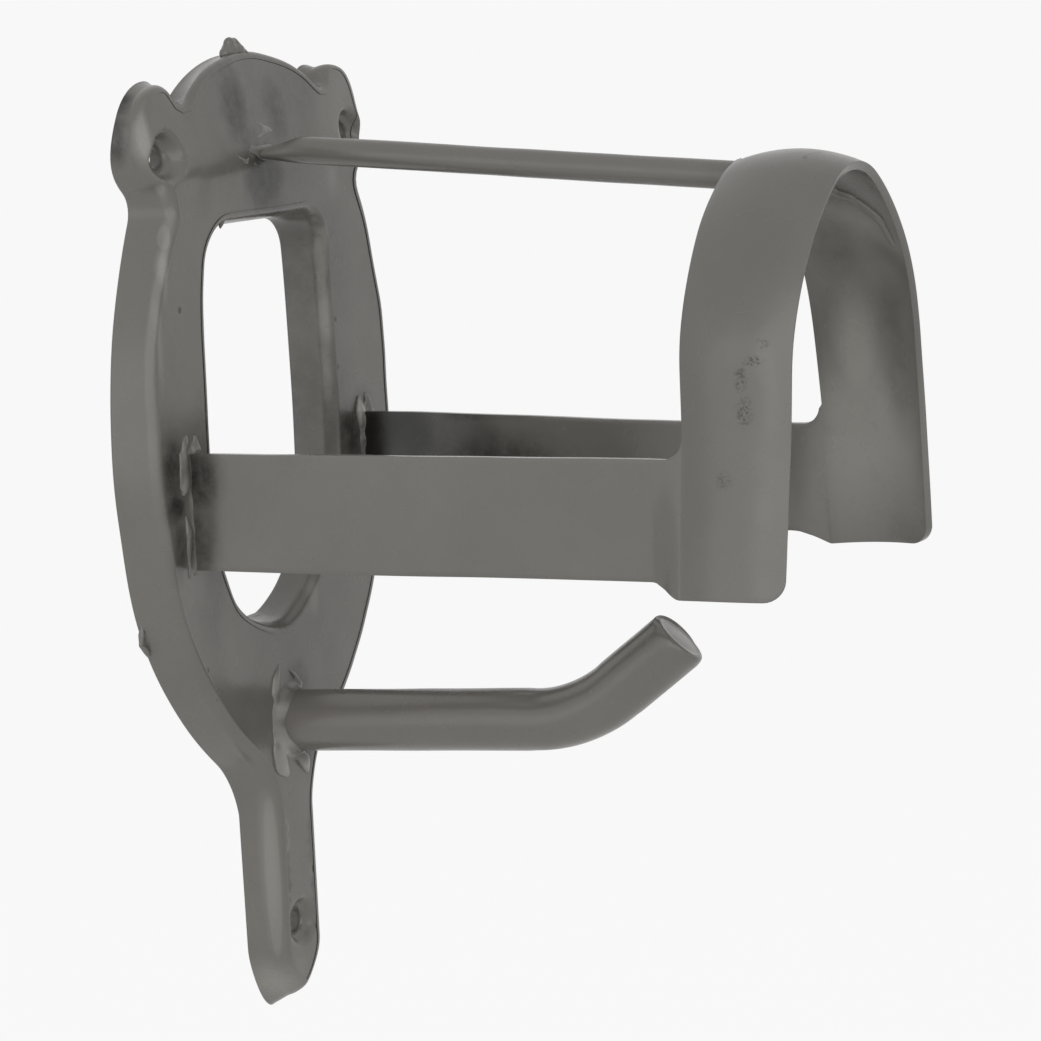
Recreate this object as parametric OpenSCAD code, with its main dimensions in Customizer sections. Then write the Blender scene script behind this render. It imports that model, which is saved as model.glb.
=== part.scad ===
// Bridle rack: a pressed steel wall plate, a crowned arch on two arms that carries
// the crownpiece of a bridle, a tie rod above it and a reins hook below it.
// Millimetres. The rack stands out of the wall towards -y. The origin lies midway between
// the two upper screw holes, in the plane of the seats of their screws.

/* [Wall plate] */
// Height of the plate from the tip of the tail to the top of the dome
plate_h = 240; // [236:1:246]
// How far the face of the plate stands off the wall
plate_depth = 12; // [10:0.5:14]
// Thickness of the plate's sheet
plate_t = 2; // [1.6:0.1:2.4]
// Inside radius of the bend between the face and the flanges
bend_r = 1; // [0.6:0.1:1.6]
// How far the outer flange leans in from the wall to the bend
flange_draft = 1.5; // [0.6:0.1:2]
// Radius of the dome at the top of the plate
dome_r = 46; // [45:0.5:47]
// Distance from the middle of the plate to the top of an ear
ear_x = 38.5; // [38:0.1:40]
// How far the top of an ear lies below the top of the dome
ear_drop = 4.4; // [3.6:0.1:5.4]
// Radius of an ear on the side of the dome
ear_inner_r = 7; // [6.4:0.1:7.6]
// Radius of an ear on the outer side
ear_outer_r = 15; // [14:0.5:16]
// Radius of the notch between the dome and an ear
notch_r = 2.5; // [2:0.1:3]
// Radius of the waist below an ear
waist_r = 6; // [5:0.5:7]
// Width of the plate at its widest place
body_w = 119.6; // [118:0.2:122]
// Height of the widest place above the tip of the tail
body_z = 145; // [142:1:148]
// Radius of the plate's side above the widest place
upper_side_r = 130; // [126:1:136]
// Radius of the plate's side below the widest place
lower_side_r = 100; // [97:1:103]
// Radius of the neck between the body and the tail
neck_r = 20; // [17:1:23]
// Width of the tail
tail_w = 21.2; // [20:0.2:24]
// Radius of the sides of the tail's end
tail_side_r = 17; // [15:0.5:19]
// Radius of the tip of the tail
tail_tip_r = 5.5; // [5:0.5:7]

/* [Window] */
// Width of the window at its widest place
window_w = 56.8; // [52:0.2:60]
// Height of the top of the window above the tip of the tail
window_top_z = 199.5; // [196:0.5:202]
// Radius of the top corners of the window
window_corner_r = 9; // [7:0.5:12]
// Radius of the long sides of the window
window_side_r = 500; // [400:10:700]
// Height of the widest place of the window
window_mid_z = 150; // [146:1:156]
// Radius of each side of the window's pointed lower end
window_low_r = 34; // [32:0.5:36]
// Height of the centre of the radius at the lower end
window_low_z = 132; // [130:0.5:136]
// Radius of the window's lowest point
window_tip_r = 14; // [10:0.5:18]
// How far the window's flange leans out from the wall to the bend
window_draft = 1; // [0.5:0.1:1.5]

/* [Screw holes] */
// Diameter of the three screw holes
screw_d = 6; // [4.6:0.2:6.6]
// Diameter of the dimple round a screw hole, at the face
dimple_d = 12.5; // [11.5:0.1:13]
// Depth of a dimple below the face
dimple_depth = 3.5; // [2:0.1:4.5]
// Distance of an upper hole outwards from the top of its ear
ear_hole_out = 5.8; // [5:0.1:6.4]
// Distance of an upper hole below the top of its ear
ear_hole_drop = 18.1; // [16:0.1:20]
// Height of the lower hole above the tip of the tail
tail_hole_z = 20.3; // [18:0.1:26]

/* [Bridle arch] */
// Thickness of the arch's sheet
arch_t = 2.2; // [1.8:0.1:2.6]
// Height of the back rim at the top of the arch above the tip of the tail
arch_top_z = 212.4; // [209:0.2:214]
// Distance of the arch's back rim from the wall
arch_back = 142.5; // [130:0.5:160]
// Width of the arch's band at arm height
band_w = 26.7; // [22:0.1:32]
// Radius of the top of the arch
top_r = 24; // [21:0.5:27]
// Half angle of the top radius
top_angle = 31; // [27:1:34]
// Radius of the shoulders of the arch
shoulder_r = 58; // [55:0.5:62]
// Angle at which the legs flare from upright
leg_flare = 7; // [4:0.5:9]
// Height of the ends of the legs above the tip of the tail
leg_end_z = 113.8; // [110:0.2:116]
// How far the middle of the band stands proud of its rims
band_crown = 2.6; // [1.5:0.1:3.5]
// How far the front rim leans forward for each millimetre of height
front_lean = 0.034; // [0:0.002:0.05]
// How far the top of the front rim lies below the top of the back rim
front_dip = 1.9; // [0:0.1:3]
// Radius of the lower front corner of a leg
leg_corner_r = 5; // [3:0.5:8]

/* [Arms] */
// Distance over the outer faces of the arms at the wall plate
arm_root_w = 87.4; // [84:0.2:92]
// Distance over the outer faces of the arms where the joggles begin
arm_tip_w = 84.8; // [80:0.2:88]
// Height of the arms' lower edge above the tip of the tail
arm_low_z = 117.2; // [116.4:0.2:121]
// Height of the arms' upper edge above the tip of the tail
arm_top_z = 145.7; // [140:0.1:150]
// Length of the joggle between an arm and its leg
joggle_l = 7; // [5.5:0.5:10]
// Radius between an arm's upper edge and its leg
arm_fillet_r = 5; // [3:0.5:5.5]

/* [Tie rod] */
// Diameter of the tie rod
rod_d = 6.4; // [5:0.1:8]
// Height of the rod's axis at the wall plate above the tip of the tail
rod_root_z = 216.4; // [213:0.2:220]
// How far the rod runs in under the crown of the arch
rod_under = 6; // [3:0.5:12]
// Gap between the rod and the underside of the arch, filled by the weld
rod_gap = 0.1; // [0.05:0.05:0.3]

/* [Hook] */
// Diameter of the hook's round bar
hook_d = 15.5; // [12:0.5:18]
// Height of the bar's axis at the wall plate above the tip of the tail
hook_z = 72.3; // [70:0.2:84]
// Angle at which the bar rises from the plate
hook_rise = 2.4; // [0:0.2:5]
// Length of the straight bar before the bend
hook_straight = 68; // [50:1:80]
// Radius of the bend, to the middle of the bar
hook_bend_r = 39; // [30:1:46]
// Angle of the hook's end above level
hook_tip_angle = 38.5; // [25:0.5:60]
// Length of the straight end beyond the bend
hook_tip_l = 21.5; // [14:0.5:28]
// Radius of the rim of the hook's cut end
hook_rim_r = 2; // [1:0.1:3]

/* [Welds] */
// Leg of the weld bead at the root of an arm
arm_bead = 4.2; // [3:0.1:5]
// How far that bead runs past the arm's edges
arm_bead_over = 1.6; // [0.5:0.1:3]
// Leg of the weld bead round the hook
hook_bead = 4.6; // [3:0.1:6]
// Leg of the weld bead round the rod at the plate
rod_bead = 3.4; // [2:0.1:4.5]
// Leg of the weld between the rod and the arch
crown_bead = 2.2; // [1.5:0.1:2.6]
// How much a bead swells and narrows along its run, as a share of its leg
bead_swell = 0.14; // [0.05:0.01:0.2]

/* [Hidden] */
$fn = 64;

coat = [0.44, 0.43, 0.41];
bead_coat = [0.38, 0.37, 0.35];

// A cut runs this far past the surface that it opens
past = 1;
run_on = 0.05;
corner_r = bend_r + plate_t;
// Largest distance between an outline's arc and its chords
chord_gap = 0.07;
dimple_sides = 32;
outer_bend_steps = 3;
inner_bend_steps = 2;

// Places that follow from the outline's sizes, in plate coordinates: x across, z up
body_half = body_w / 2;
dome_c = [0, plate_h - dome_r];
ear_top = plate_h - ear_drop;
ear_inner_c = [ear_x, ear_top - ear_inner_r];
ear_outer_c = [ear_x, ear_top - ear_outer_r];
upper_side_c = [body_half - upper_side_r, body_z];
lower_side_c = [body_half - lower_side_r, body_z];
neck_x = tail_w / 2 + neck_r;
neck_c = [neck_x, body_z - leg_of(lower_side_r + neck_r, neck_x - lower_side_c.x)];
tail_side_x = tail_w / 2 - tail_side_r;
tail_side_c = [tail_side_x, tail_tip_r + leg_of(tail_side_r - tail_tip_r, tail_side_x)];
tail_tip_c = [0, tail_tip_r];
notch_c = meet(dome_c, dome_r + notch_r, ear_inner_c, ear_inner_r + notch_r, 1);
waist_c = meet(ear_outer_c, ear_outer_r + waist_r, upper_side_c, upper_side_r + waist_r, 1);

ear_hole = [ear_x + ear_hole_out, ear_top - ear_hole_drop];
screw_holes = [ear_hole, [-ear_hole.x, ear_hole.y], [0, tail_hole_z]];

window_half = window_w / 2;
window_corner_c = window_corner();
window_side_c = [window_half - window_side_r, window_mid_z];
window_low_c = [window_side_c.x + leg_of(window_side_r - window_low_r, window_low_z - window_mid_z), window_low_z];
window_tip_c = [0, window_low_z - leg_of(window_low_r - window_tip_r, window_low_c.x)];

// The path of the arch, at its back rim
top_c = [0, arch_top_z - top_r];
shoulder_c = top_c + (top_r - shoulder_r) * [sin(top_angle), cos(top_angle)];
leg_head = shoulder_c + shoulder_r * [cos(leg_flare), sin(leg_flare)];
joint_top_z = arm_top_z + arm_fillet_r;
joint_rows = 8;
neck_rows = 2;
shoulder_rows = 7;
top_rows = 5;

// The run of the tie rod, from the plate's face to its end under the crown
rod_r = rod_d / 2;
rod_tip_z = arch_top_z - arch_t - rod_gap - rod_r;
rod_fall = atan2(rod_root_z - rod_tip_z, arch_back - plate_depth);

// Other leg of a right triangle, from its long side and one leg
function leg_of(long, leg) = sqrt(long * long - leg * leg);

// Where two circles cross, on the left (1) or the right (-1) of the line between them
function meet(a, ra, b, rb, side) =
    let (
        d = norm(b - a),
        u = (b - a) / d,
        along = (d * d + ra * ra - rb * rb) / (2 * d),
        across = leg_of(ra, along)
    )
    a + along * u + side * across * [-u.y, u.x];

// Direction from one point to another, in degrees
function heading(from, to) = atan2(to.y - from.y, to.x - from.x);

// One arc of an outline: centre, radius, first and last angle, and 1 where it bulges
// out of the outline or -1 where it bulges in
function arc(c, r, from, to, bulge) = [c, r, from, to, bulge];

// Points of an arc, with the whole outline grown by a distance
function arc_points(a, grow) =
    let (
        n = max(2, ceil(abs(a[3] - a[2]) / (2 * acos(1 - chord_gap / a[1])))),
        r = a[1] + a[4] * grow
    )
    [for (i = [0 : n]) a[0] + r * [cos(a[2] + (a[3] - a[2]) * i / n), sin(a[2] + (a[3] - a[2]) * i / n)]];

// Keeps each point that lies away from the one before it
function apart(pts) = [for (i = [0 : len(pts) - 1]) if (i == 0 || norm(pts[i] - pts[i - 1]) > 0.01) pts[i]];

// Closes half an outline, run from top to bottom at x >= 0, with its mirror image
function both_sides(half) =
    let (n = len(half))
    concat(half, [for (i = [n - 1 : -1 : 0]) if (half[i].x > 0.01) [-half[i].x, half[i].y]]);

// The arcs of half the plate, from the top of the dome to the tip of the tail
plate_arcs = [
    arc(dome_c, dome_r, 90, heading(dome_c, notch_c), 1),
    arc(notch_c, notch_r, heading(notch_c, dome_c), heading(notch_c, ear_inner_c), -1),
    arc(ear_inner_c, ear_inner_r, heading(ear_inner_c, notch_c), 90, 1),
    arc(ear_outer_c, ear_outer_r, 90, heading(ear_outer_c, waist_c), 1),
    arc(waist_c, waist_r, heading(waist_c, ear_outer_c), heading(waist_c, upper_side_c) + 360, -1),
    arc(upper_side_c, upper_side_r, heading(upper_side_c, waist_c), 0, 1),
    arc(lower_side_c, lower_side_r, 0, heading(lower_side_c, neck_c), 1),
    arc(neck_c, neck_r, heading(neck_c, lower_side_c), 180, -1),
    arc(tail_side_c, tail_side_r, 0, heading(tail_side_c, tail_tip_c), 1),
    arc(tail_tip_c, tail_tip_r, heading(tail_side_c, tail_tip_c), -90, 1)
];

// Centre of the window's top corner, which is tangent to the side and to the top
function window_corner() =
    let (z = window_top_z - window_corner_r)
    [window_w / 2 - window_side_r + leg_of(window_side_r - window_corner_r, z - window_mid_z), z];

window_arcs = [
    arc(window_corner_c, window_corner_r, 90, heading(window_side_c, window_corner_c), 1),
    arc(window_side_c, window_side_r, heading(window_side_c, window_corner_c),
        heading(window_side_c, window_low_c), 1),
    arc(window_low_c, window_low_r, heading(window_side_c, window_low_c),
        heading(window_low_c, window_tip_c), 1),
    arc(window_tip_c, window_tip_r, heading(window_low_c, window_tip_c), -90, 1)
];

function outline(arcs, grow) = both_sides(apart([for (a = arcs) each arc_points(a, grow)]));

// A closed form through outlines that lie at stated distances from the wall. Each ring is
// [distance from the wall, growth of the outline], and they run away from the wall
module loft(arcs, rings) {
    loops = [for (r = rings) [for (p = outline(arcs, r[1])) [p.x, -r[0], p.y]]];
    n = len(loops[0]);
    last = len(rings) - 1;
    polyhedron(
        points = [for (l = loops) each l],
        faces = concat(
            [[for (i = [n - 1 : -1 : 0]) i]],
            [for (k = [0 : last - 1], i = [0 : n - 1])
                let (j = (i + 1) % n)
                [k * n + i, k * n + j, (k + 1) * n + j, (k + 1) * n + i]],
            [[for (i = [0 : n - 1]) last * n + i]]
        ),
        convexity = 8
    );
}

// Rings of a bend, from a flange into the face. side is -1 where the outline shrinks
// towards the face and 1 where it opens. The last ring runs on by a distance, so that the
// plane of the face cuts the bend and doesn't end on its edge
function bend_rings(r, start, grow, side, steps, on) =
    let (
        rings = [for (i = [0 : steps])
            [start + r * sin(90 * i / steps), grow + side * r * (1 - cos(90 * i / steps))]],
        a = rings[steps - 1],
        b = rings[steps]
    )
    concat([for (i = [1 : 1 : steps - 1]) rings[i]], [b + (b - a) * on / (b[0] - a[0])]);
function last_growth(rings) = rings[len(rings) - 1][1];

// All that lies between two distances from the wall
module between(near, far) {
    translate([-plate_h, -far, -plate_h])
        cube([2 * plate_h, far - near, 3 * plate_h]);
}

// The outside of the pan, from the wall to the face
module plate_outside() {
    bend_start = plate_depth - corner_r;
    slope = flange_draft / bend_start;
    bend = bend_rings(corner_r, bend_start, -flange_draft, -1, outer_bend_steps, run_on);
    intersection() {
        loft(plate_arcs, concat([[-past, slope * past], [bend_start, -flange_draft]], bend,
            [[plate_depth + past, last_growth(bend)]]));
        between(0, plate_depth);
    }
}

// The hollow of the pan, from before the wall to the back of the face
module plate_inside() {
    bend_start = plate_depth - corner_r;
    slope = flange_draft / bend_start;
    bend = bend_rings(bend_r, bend_start, -flange_draft - plate_t, -1, inner_bend_steps, run_on);
    intersection() {
        loft(plate_arcs, concat(
            [[-past, slope * past - plate_t], [bend_start, -flange_draft - plate_t]],
            bend, [[plate_depth, last_growth(bend)]]));
        between(-past / 2, plate_depth - plate_t);
    }
}

// The space that the window's flange takes up, and the window with it
module window_keep() {
    bend_start = plate_depth - corner_r;
    slope = window_draft / bend_start;
    bend = bend_rings(bend_r, bend_start, window_draft + plate_t, 1, inner_bend_steps, run_on);
    loft(window_arcs, concat([[-2 * past, plate_t - 2 * past * slope], [bend_start, window_draft + plate_t]],
        bend, [[plate_depth, last_growth(bend)]]));
}

module window_hole() {
    bend_start = plate_depth - corner_r;
    slope = window_draft / bend_start;
    bend = bend_rings(corner_r, bend_start, window_draft, 1, outer_bend_steps, run_on);
    loft(window_arcs, concat([[-past, -past * slope], [bend_start, window_draft]],
        bend, [[plate_depth + past, last_growth(bend)]]));
}

// Moves a shape that lies along +z onto an axis that points out of the wall at a height
module out_of_wall(x, z) {
    translate([x, 0, z]) rotate([90, 0, 0]) children();
}

// The pressed cup behind a dimple, from inside the sheet down to the seat of the screw
module dimple_cup() {
    seat = plate_depth - dimple_depth;
    translate([0, 0, seat - plate_t])
        cylinder(h = dimple_depth + past, d1 = screw_d + 2 * plate_t + past, d2 = dimple_d + plate_t,
            $fn = dimple_sides);
}

// The dimple's cone and the screw hole
module dimple_cut() {
    seat = plate_depth - dimple_depth;
    spread = (dimple_d - screw_d - plate_t) / dimple_depth;
    translate([0, 0, seat])
        cylinder(h = dimple_depth + past, d1 = screw_d + plate_t, d2 = dimple_d + past * spread,
            $fn = dimple_sides);
    translate([0, 0, seat - plate_t - past])
        cylinder(h = dimple_depth + plate_t + past, d = screw_d, $fn = dimple_sides);
}

// Moves a piece from the wall and the tail's tip to the origin at the upper screws
module placed() {
    translate([0, plate_depth - dimple_depth, -ear_hole.y]) children();
}

module wall_plate() {
    color(coat) placed() difference() {
        plate_outside();
        difference() {
            plate_inside();
            window_keep();
            for (p = screw_holes)
                out_of_wall(p.x, p.y) dimple_cup();
        }
        window_hole();
        for (p = screw_holes)
            out_of_wall(p.x, p.y) dimple_cut();
    }
}

// Smooth step from 0 to 1
function ease(s) = let (c = min(1, max(0, s))) c * c * (3 - 2 * c);

// Columns of the arch and its arms: distances from the wall along an arm, ending at the
// back rim, and then shares of the band's width
arm_columns = concat(
    [plate_depth, arch_back - joggle_l],
    [for (i = [0 : 6]) arch_back - arm_fillet_r * (1 - sin(90 * i / 6))]
);
band_columns = concat(
    [for (i = [1 : 5]) (1 - leg_corner_r / band_w) * i / 5],
    [for (i = [1 : 4]) 1 - (leg_corner_r / band_w) * (1 - sin(90 * i / 4))]
);
rim_column = len(arm_columns) - 1;
last_column = rim_column + len(band_columns);

// Rows of one half of the arch, from the end of the leg to the top. A row is its place on
// the back rim and the direction in which the sheet faces
leg_face = [cos(leg_flare), sin(leg_flare)];
function leg_x(z) = leg_head.x + (leg_head.y - z) * tan(leg_flare);
joint_row_list = [for (i = [0 : joint_rows])
    let (z = leg_end_z + (joint_top_z - leg_end_z) * i / joint_rows)
    [[leg_x(z), z], leg_face]];
neck_row_list = [for (i = [1 : neck_rows])
    let (z = joint_top_z + (leg_head.y - joint_top_z) * i / neck_rows)
    [[leg_x(z), z], leg_face]];
shoulder_row_list = [for (i = [1 : shoulder_rows])
    let (a = leg_flare + (90 - leg_flare - top_angle) * i / shoulder_rows, n = [cos(a), sin(a)])
    [shoulder_c + shoulder_r * n, n]];
top_row_list = [for (i = [1 : top_rows])
    let (a = 90 - top_angle + top_angle * i / top_rows, n = [cos(a), sin(a)])
    [top_c + top_r * n, n]];
half_rows = concat(joint_row_list, neck_row_list, shoulder_row_list, top_row_list);
top_row = len(half_rows) - 1;

// Lower and upper edge of the arm and the joint at a distance from the wall
function arm_share(y) = ease((y - (arch_back - joggle_l)) / joggle_l);
function low_edge(y) = arm_low_z + (leg_end_z - arm_low_z) * arm_share(y);
function high_edge(y) =
    let (d = max(0, y - (arch_back - arm_fillet_r)))
    joint_top_z - leg_of(arm_fillet_r, min(d, arm_fillet_r));

// Outer face of an arm, before its joggle, at a distance from the wall
function arm_x(y) =
    let (s = (y - plate_depth) / (arch_back - joggle_l - plate_depth))
    (arm_root_w + (arm_tip_w - arm_root_w) * min(1, s)) / 2;

// A point of an arm: j counts its columns, i the joint's rows, and depth is how far below
// the outer face it lies
function arm_point(i, j, depth) =
    let (
        y = arm_columns[j],
        b = arm_share(y),
        z = low_edge(y) + (high_edge(y) - low_edge(y)) * i / joint_rows,
        x = arm_x(y) * (1 - b) + leg_x(z) * b
    )
    [x - depth * cos(leg_flare * b), -y, z - depth * sin(leg_flare * b)];

// A point of the band: v is its share of the width
function band_point(i, v, depth) =
    let (
        row = half_rows[i],
        away = max(0, (v - 1) * band_w + leg_corner_r),
        lift = leg_corner_r - leg_of(leg_corner_r, min(away, leg_corner_r)),
        in_joint = max(0, 1 - i / joint_rows),
        z0 = row[0].y + lift * in_joint,
        x0 = i <= joint_rows ? leg_x(z0) : row[0].x,
        high = (z0 - leg_end_z) / (arch_top_z - leg_end_z),
        bulge = band_crown * (1 - (2 * v - 1) * (2 * v - 1)) - depth,
        y = arch_back + v * (band_w + front_lean * (z0 - (arm_low_z + arm_top_z) / 2))
    )
    [x0 + row[1].x * bulge, -y, z0 + row[1].y * bulge - front_dip * v * high];

function arch_point(i, j, depth) =
    let (
        k = i <= top_row ? i : 2 * top_row - i,
        side = i <= top_row ? 1 : -1,
        p = j < rim_column ? arm_point(min(k, joint_rows), j, depth)
                           : band_point(k, j == rim_column ? 0 : band_columns[j - rim_column - 1], depth)
    )
    [side * p.x, p.y, p.z];

// A sheet bent from a grid of rows and columns. Cells outside the sheet have no faces
module bridle_arch() {
    rows = 2 * top_row;
    cols = last_column + 1;
    below = (rows + 1) * cols;
    function cell(i, j) = i >= 0 && i < rows && j >= 0 && j < last_column
        && (j >= rim_column || i < joint_rows || i >= rows - joint_rows);
    function tri(a, b, c, d) = [[a, b, c], [a, c, d]];
    color(coat) placed() polyhedron(
        points = [for (depth = [0, arch_t], i = [0 : rows], j = [0 : last_column])
            arch_point(i, j, depth)],
        faces = [for (i = [0 : rows - 1], j = [0 : last_column - 1]) if (cell(i, j))
            let (a = i * cols + j, b = a + cols, c = b + 1, d = a + 1)
            each concat(
                tri(a, d, c, b),
                tri(a + below, b + below, c + below, d + below),
                cell(i - 1, j) ? [] : tri(d, a, a + below, d + below),
                cell(i, j + 1) ? [] : tri(c, d, d + below, c + below),
                cell(i + 1, j) ? [] : tri(b, c, c + below, b + below),
                cell(i, j - 1) ? [] : tri(a, b, b + below, a + below)
            )],
        convexity = 8
    );
}

// The half space in front of the plate's face
module before_plate() {
    reach = 2 * (arch_back + band_w);
    translate([-reach / 2, -plate_depth - reach, -reach / 2 + plate_h / 2])
        cube([reach, reach, reach + plate_h]);
}

module tie_rod() {
    length = (arch_back - plate_depth) / cos(rod_fall);
    color(coat) placed() intersection() {
        translate([0, -plate_depth, rod_root_z])
            rotate([90 + rod_fall, 0, 0])
                translate([0, 0, -rod_d])
                    cylinder(h = length + rod_under + rod_d, r = rod_r);
        before_plate();
    }
}

// Directions along the hook's bar and square to it at a heading, out of the wall and up
function along_bar(h) = [cos(h), sin(h)];
function off_bar(h) = [-sin(h), cos(h)];

hook_r = hook_d / 2;
hook_root = [plate_depth, hook_z];
hook_bend_c = hook_root + hook_straight * along_bar(hook_rise) + hook_bend_r * off_bar(hook_rise);
hook_bend_end = hook_bend_c - hook_bend_r * off_bar(hook_tip_angle);
hook_sides = 32;
hook_bend_rings = 12;
hook_rim_rings = 4;

// Rings of the bar: its middle, its heading and its radius there
hook_rings = concat(
    [[hook_root, hook_rise, hook_r]],
    [for (i = [0 : hook_bend_rings])
        let (h = hook_rise + (hook_tip_angle - hook_rise) * i / hook_bend_rings)
        [hook_bend_c - hook_bend_r * off_bar(h), h, hook_r]],
    [for (i = [0 : hook_rim_rings])
        let (a = 90 * i / hook_rim_rings)
        [hook_bend_end + (hook_tip_l - hook_rim_r * (1 - sin(a))) * along_bar(hook_tip_angle),
            hook_tip_angle, hook_r - hook_rim_r * (1 - cos(a))]]
);

// A point of the bar. The first ring is slid along the bar onto the plate's face
function hook_point(ring, a, first) =
    let (
        q = ring[0] + off_bar(ring[1]) * ring[2] * sin(a),
        p = first ? q + along_bar(ring[1]) * (plate_depth - q.x) / cos(ring[1]) : q
    )
    [ring[2] * cos(a), -p.x, p.y];

module hook() {
    n = hook_sides;
    last = len(hook_rings) - 1;
    color(coat) placed() polyhedron(
        points = [for (k = [0 : last], i = [0 : n - 1])
            hook_point(hook_rings[k], 360 * i / n, k == 0)],
        faces = concat(
            [[for (i = [0 : n - 1]) i]],
            [for (k = [0 : last - 1], i = [0 : n - 1])
                let (a = k * n + i, b = k * n + (i + 1) % n)
                each [[a, b + n, b], [a, a + n, b + n]]],
            [[for (i = [n - 1 : -1 : 0]) last * n + i]]
        ),
        convexity = 4
    );
}

// Swell of a bead along its run, as a factor of its leg
function swell(s, waves) = 1 + bead_swell * sin(360 * waves * s) + bead_swell / 2 * sin(360 * 2.6 * waves * s + 50);

// Section of a fillet bead in [away from the bar, off the plate], for a leg
bead_steps = 4;
function bead_section(leg) = [for (k = [0 : bead_steps])
    let (a = 90 * k / bead_steps)
    leg * [cos(a), sin(a)] * (1 - 0.16 * sin(2 * a))];

// A bead along a stretch of the way round a bar of radius r, standing on the plane
// z = 0. It is wider above and below the bar by a share of its leg
module bar_bead(r, leg, wide, waves, from, to) {
    steps = ceil((to - from) / 9);
    whole = to - from >= 360;
    last = whole ? steps - 1 : steps;
    count = bead_steps + 2;
    polyhedron(
        points = [for (i = [0 : last])
            let (a = from + (to - from) * i / steps, l = leg * swell(i / steps, waves) * (1 + wide * abs(sin(a))))
            each [for (p = concat([[0, 0]], bead_section(l))) [(r + p.x) * cos(a), (r + p.x) * sin(a), p.y]]],
        faces = concat(
            [for (i = [0 : steps - 1], k = [0 : count - 1])
                let (
                    next = (i + 1) % (last + 1) * count,
                    k2 = (k + 1) % count,
                    a = i * count + k,
                    d = i * count + k2
                )
                each [[a, d, next + k2], [a, next + k2, next + k]]],
            whole ? [] : [[for (k = [count - 1 : -1 : 0]) k], [for (k = [0 : count - 1]) last * count + k]]
        ),
        convexity = 4
    );
}

// A straight bead in the corner between the plate's face and an arm's outer face
module arm_weld() {
    steps = 24;
    run = arm_top_z - arm_low_z + 2 * arm_bead_over;
    count = bead_steps + 2;
    function taper(s) = sqrt(max(0.05, 1 - pow(abs(2 * s - 1), 6)));
    points = [for (i = [0 : steps])
        let (s = i / steps, l = arm_bead * swell(s, 3) * taper(s))
        each [for (p = concat([[0, 0]], bead_section(l)))
            [arm_x(plate_depth + p.y) + p.x, -plate_depth - p.y, arm_low_z - arm_bead_over + run * s]]];
    sides = [for (i = [0 : steps - 1], k = [0 : count - 1])
        let (k2 = (k + 1) % count, a = i * count + k, b = a + count, c = (i + 1) * count + k2, d = i * count + k2)
        each [[a, c, b], [a, d, c]]];
    polyhedron(
        points = points,
        faces = concat(sides,
            [[for (k = [count - 1 : -1 : 0]) k]],
            [[for (k = [0 : count - 1]) steps * count + k]]),
        convexity = 4
    );
}

module right_arm_weld() {
    color(bead_coat) placed() arm_weld();
}

module left_arm_weld() {
    color(bead_coat) placed() mirror([1, 0, 0]) arm_weld();
}

module rod_plate_weld() {
    color(bead_coat) placed()
        translate([0, -plate_depth, rod_root_z]) rotate([90, 0, 0])
            bar_bead(rod_r, rod_bead, 0.1, 3, 0, 360);
}

// The weld over the rod, against the back rim of the arch
module rod_arch_weld() {
    color(bead_coat) placed()
        translate([0, -arch_back, rod_tip_z]) rotate([-90, 0, 0])
            bar_bead(rod_r, crown_bead, 0, 1, -140, -40);
}

module hook_weld() {
    color(bead_coat) placed()
        translate([0, -plate_depth, hook_z]) rotate([90, 0, 0])
            bar_bead(hook_r, hook_bead, 0.35, 4, 0, 360);
}

wall_plate();
bridle_arch();
tie_rod();
hook();
left_arm_weld();
right_arm_weld();
rod_plate_weld();
rod_arch_weld();
hook_weld();
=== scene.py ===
"""Bridle rack: a pressed wall plate, a crowned arch on two arms, a tie rod and a reins hook.

Sizes are in millimetres. Heights count from the tip of the plate's tail, and distances out
of the wall count from the wall. The rack is one welded bracket, so every piece rides on the
same body.
"""
import logging
import math
from dataclasses import dataclass, field
from enum import Enum
from typing import Callable, Iterable, Sequence

import bmesh
import bpy
import numpy as np
from mathutils import Matrix, Vector, noise
from mathutils.geometry import delaunay_2d_cdt


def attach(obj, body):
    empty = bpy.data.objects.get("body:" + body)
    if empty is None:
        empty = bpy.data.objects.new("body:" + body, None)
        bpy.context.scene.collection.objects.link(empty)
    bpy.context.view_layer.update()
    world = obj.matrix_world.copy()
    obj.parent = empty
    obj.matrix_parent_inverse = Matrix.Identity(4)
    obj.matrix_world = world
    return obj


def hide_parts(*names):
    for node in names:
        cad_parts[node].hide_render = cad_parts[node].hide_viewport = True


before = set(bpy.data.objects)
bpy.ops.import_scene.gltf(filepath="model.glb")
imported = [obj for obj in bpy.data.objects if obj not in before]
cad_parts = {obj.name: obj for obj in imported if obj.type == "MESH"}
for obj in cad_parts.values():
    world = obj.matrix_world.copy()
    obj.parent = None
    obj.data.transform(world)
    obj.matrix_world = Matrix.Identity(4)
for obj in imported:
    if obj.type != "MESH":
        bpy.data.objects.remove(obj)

log = logging.getLogger("bridle_rack")

MM = 0.001
# The frame's origin lies midway between the ears' screw holes, in the plane of their seats:
# this far out of the wall and this far above the tail's tip
ORIGIN_OUT = 8.5
ORIGIN_Z = 217.5
BODY = "root"

Point = tuple[float, float, float]


def in_frame(x: float, out: float, z: float) -> Point:
    """A point in metres in the part's frame, from its place across, out of the wall and up."""
    return (x * MM, (ORIGIN_OUT - out) * MM, (z - ORIGIN_Z) * MM)


def ease(s: np.ndarray | float) -> np.ndarray | float:
    """Smooth step that climbs from 0 to 1 as s does."""
    c = np.clip(s, 0.0, 1.0)
    return c * c * (3.0 - 2.0 * c)


def climb(value: np.ndarray | float, start: float, length: float) -> np.ndarray | float:
    """Climbs smoothly from 0 at the start to 1 at this length past it."""
    return ease((value - start) / length)


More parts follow.
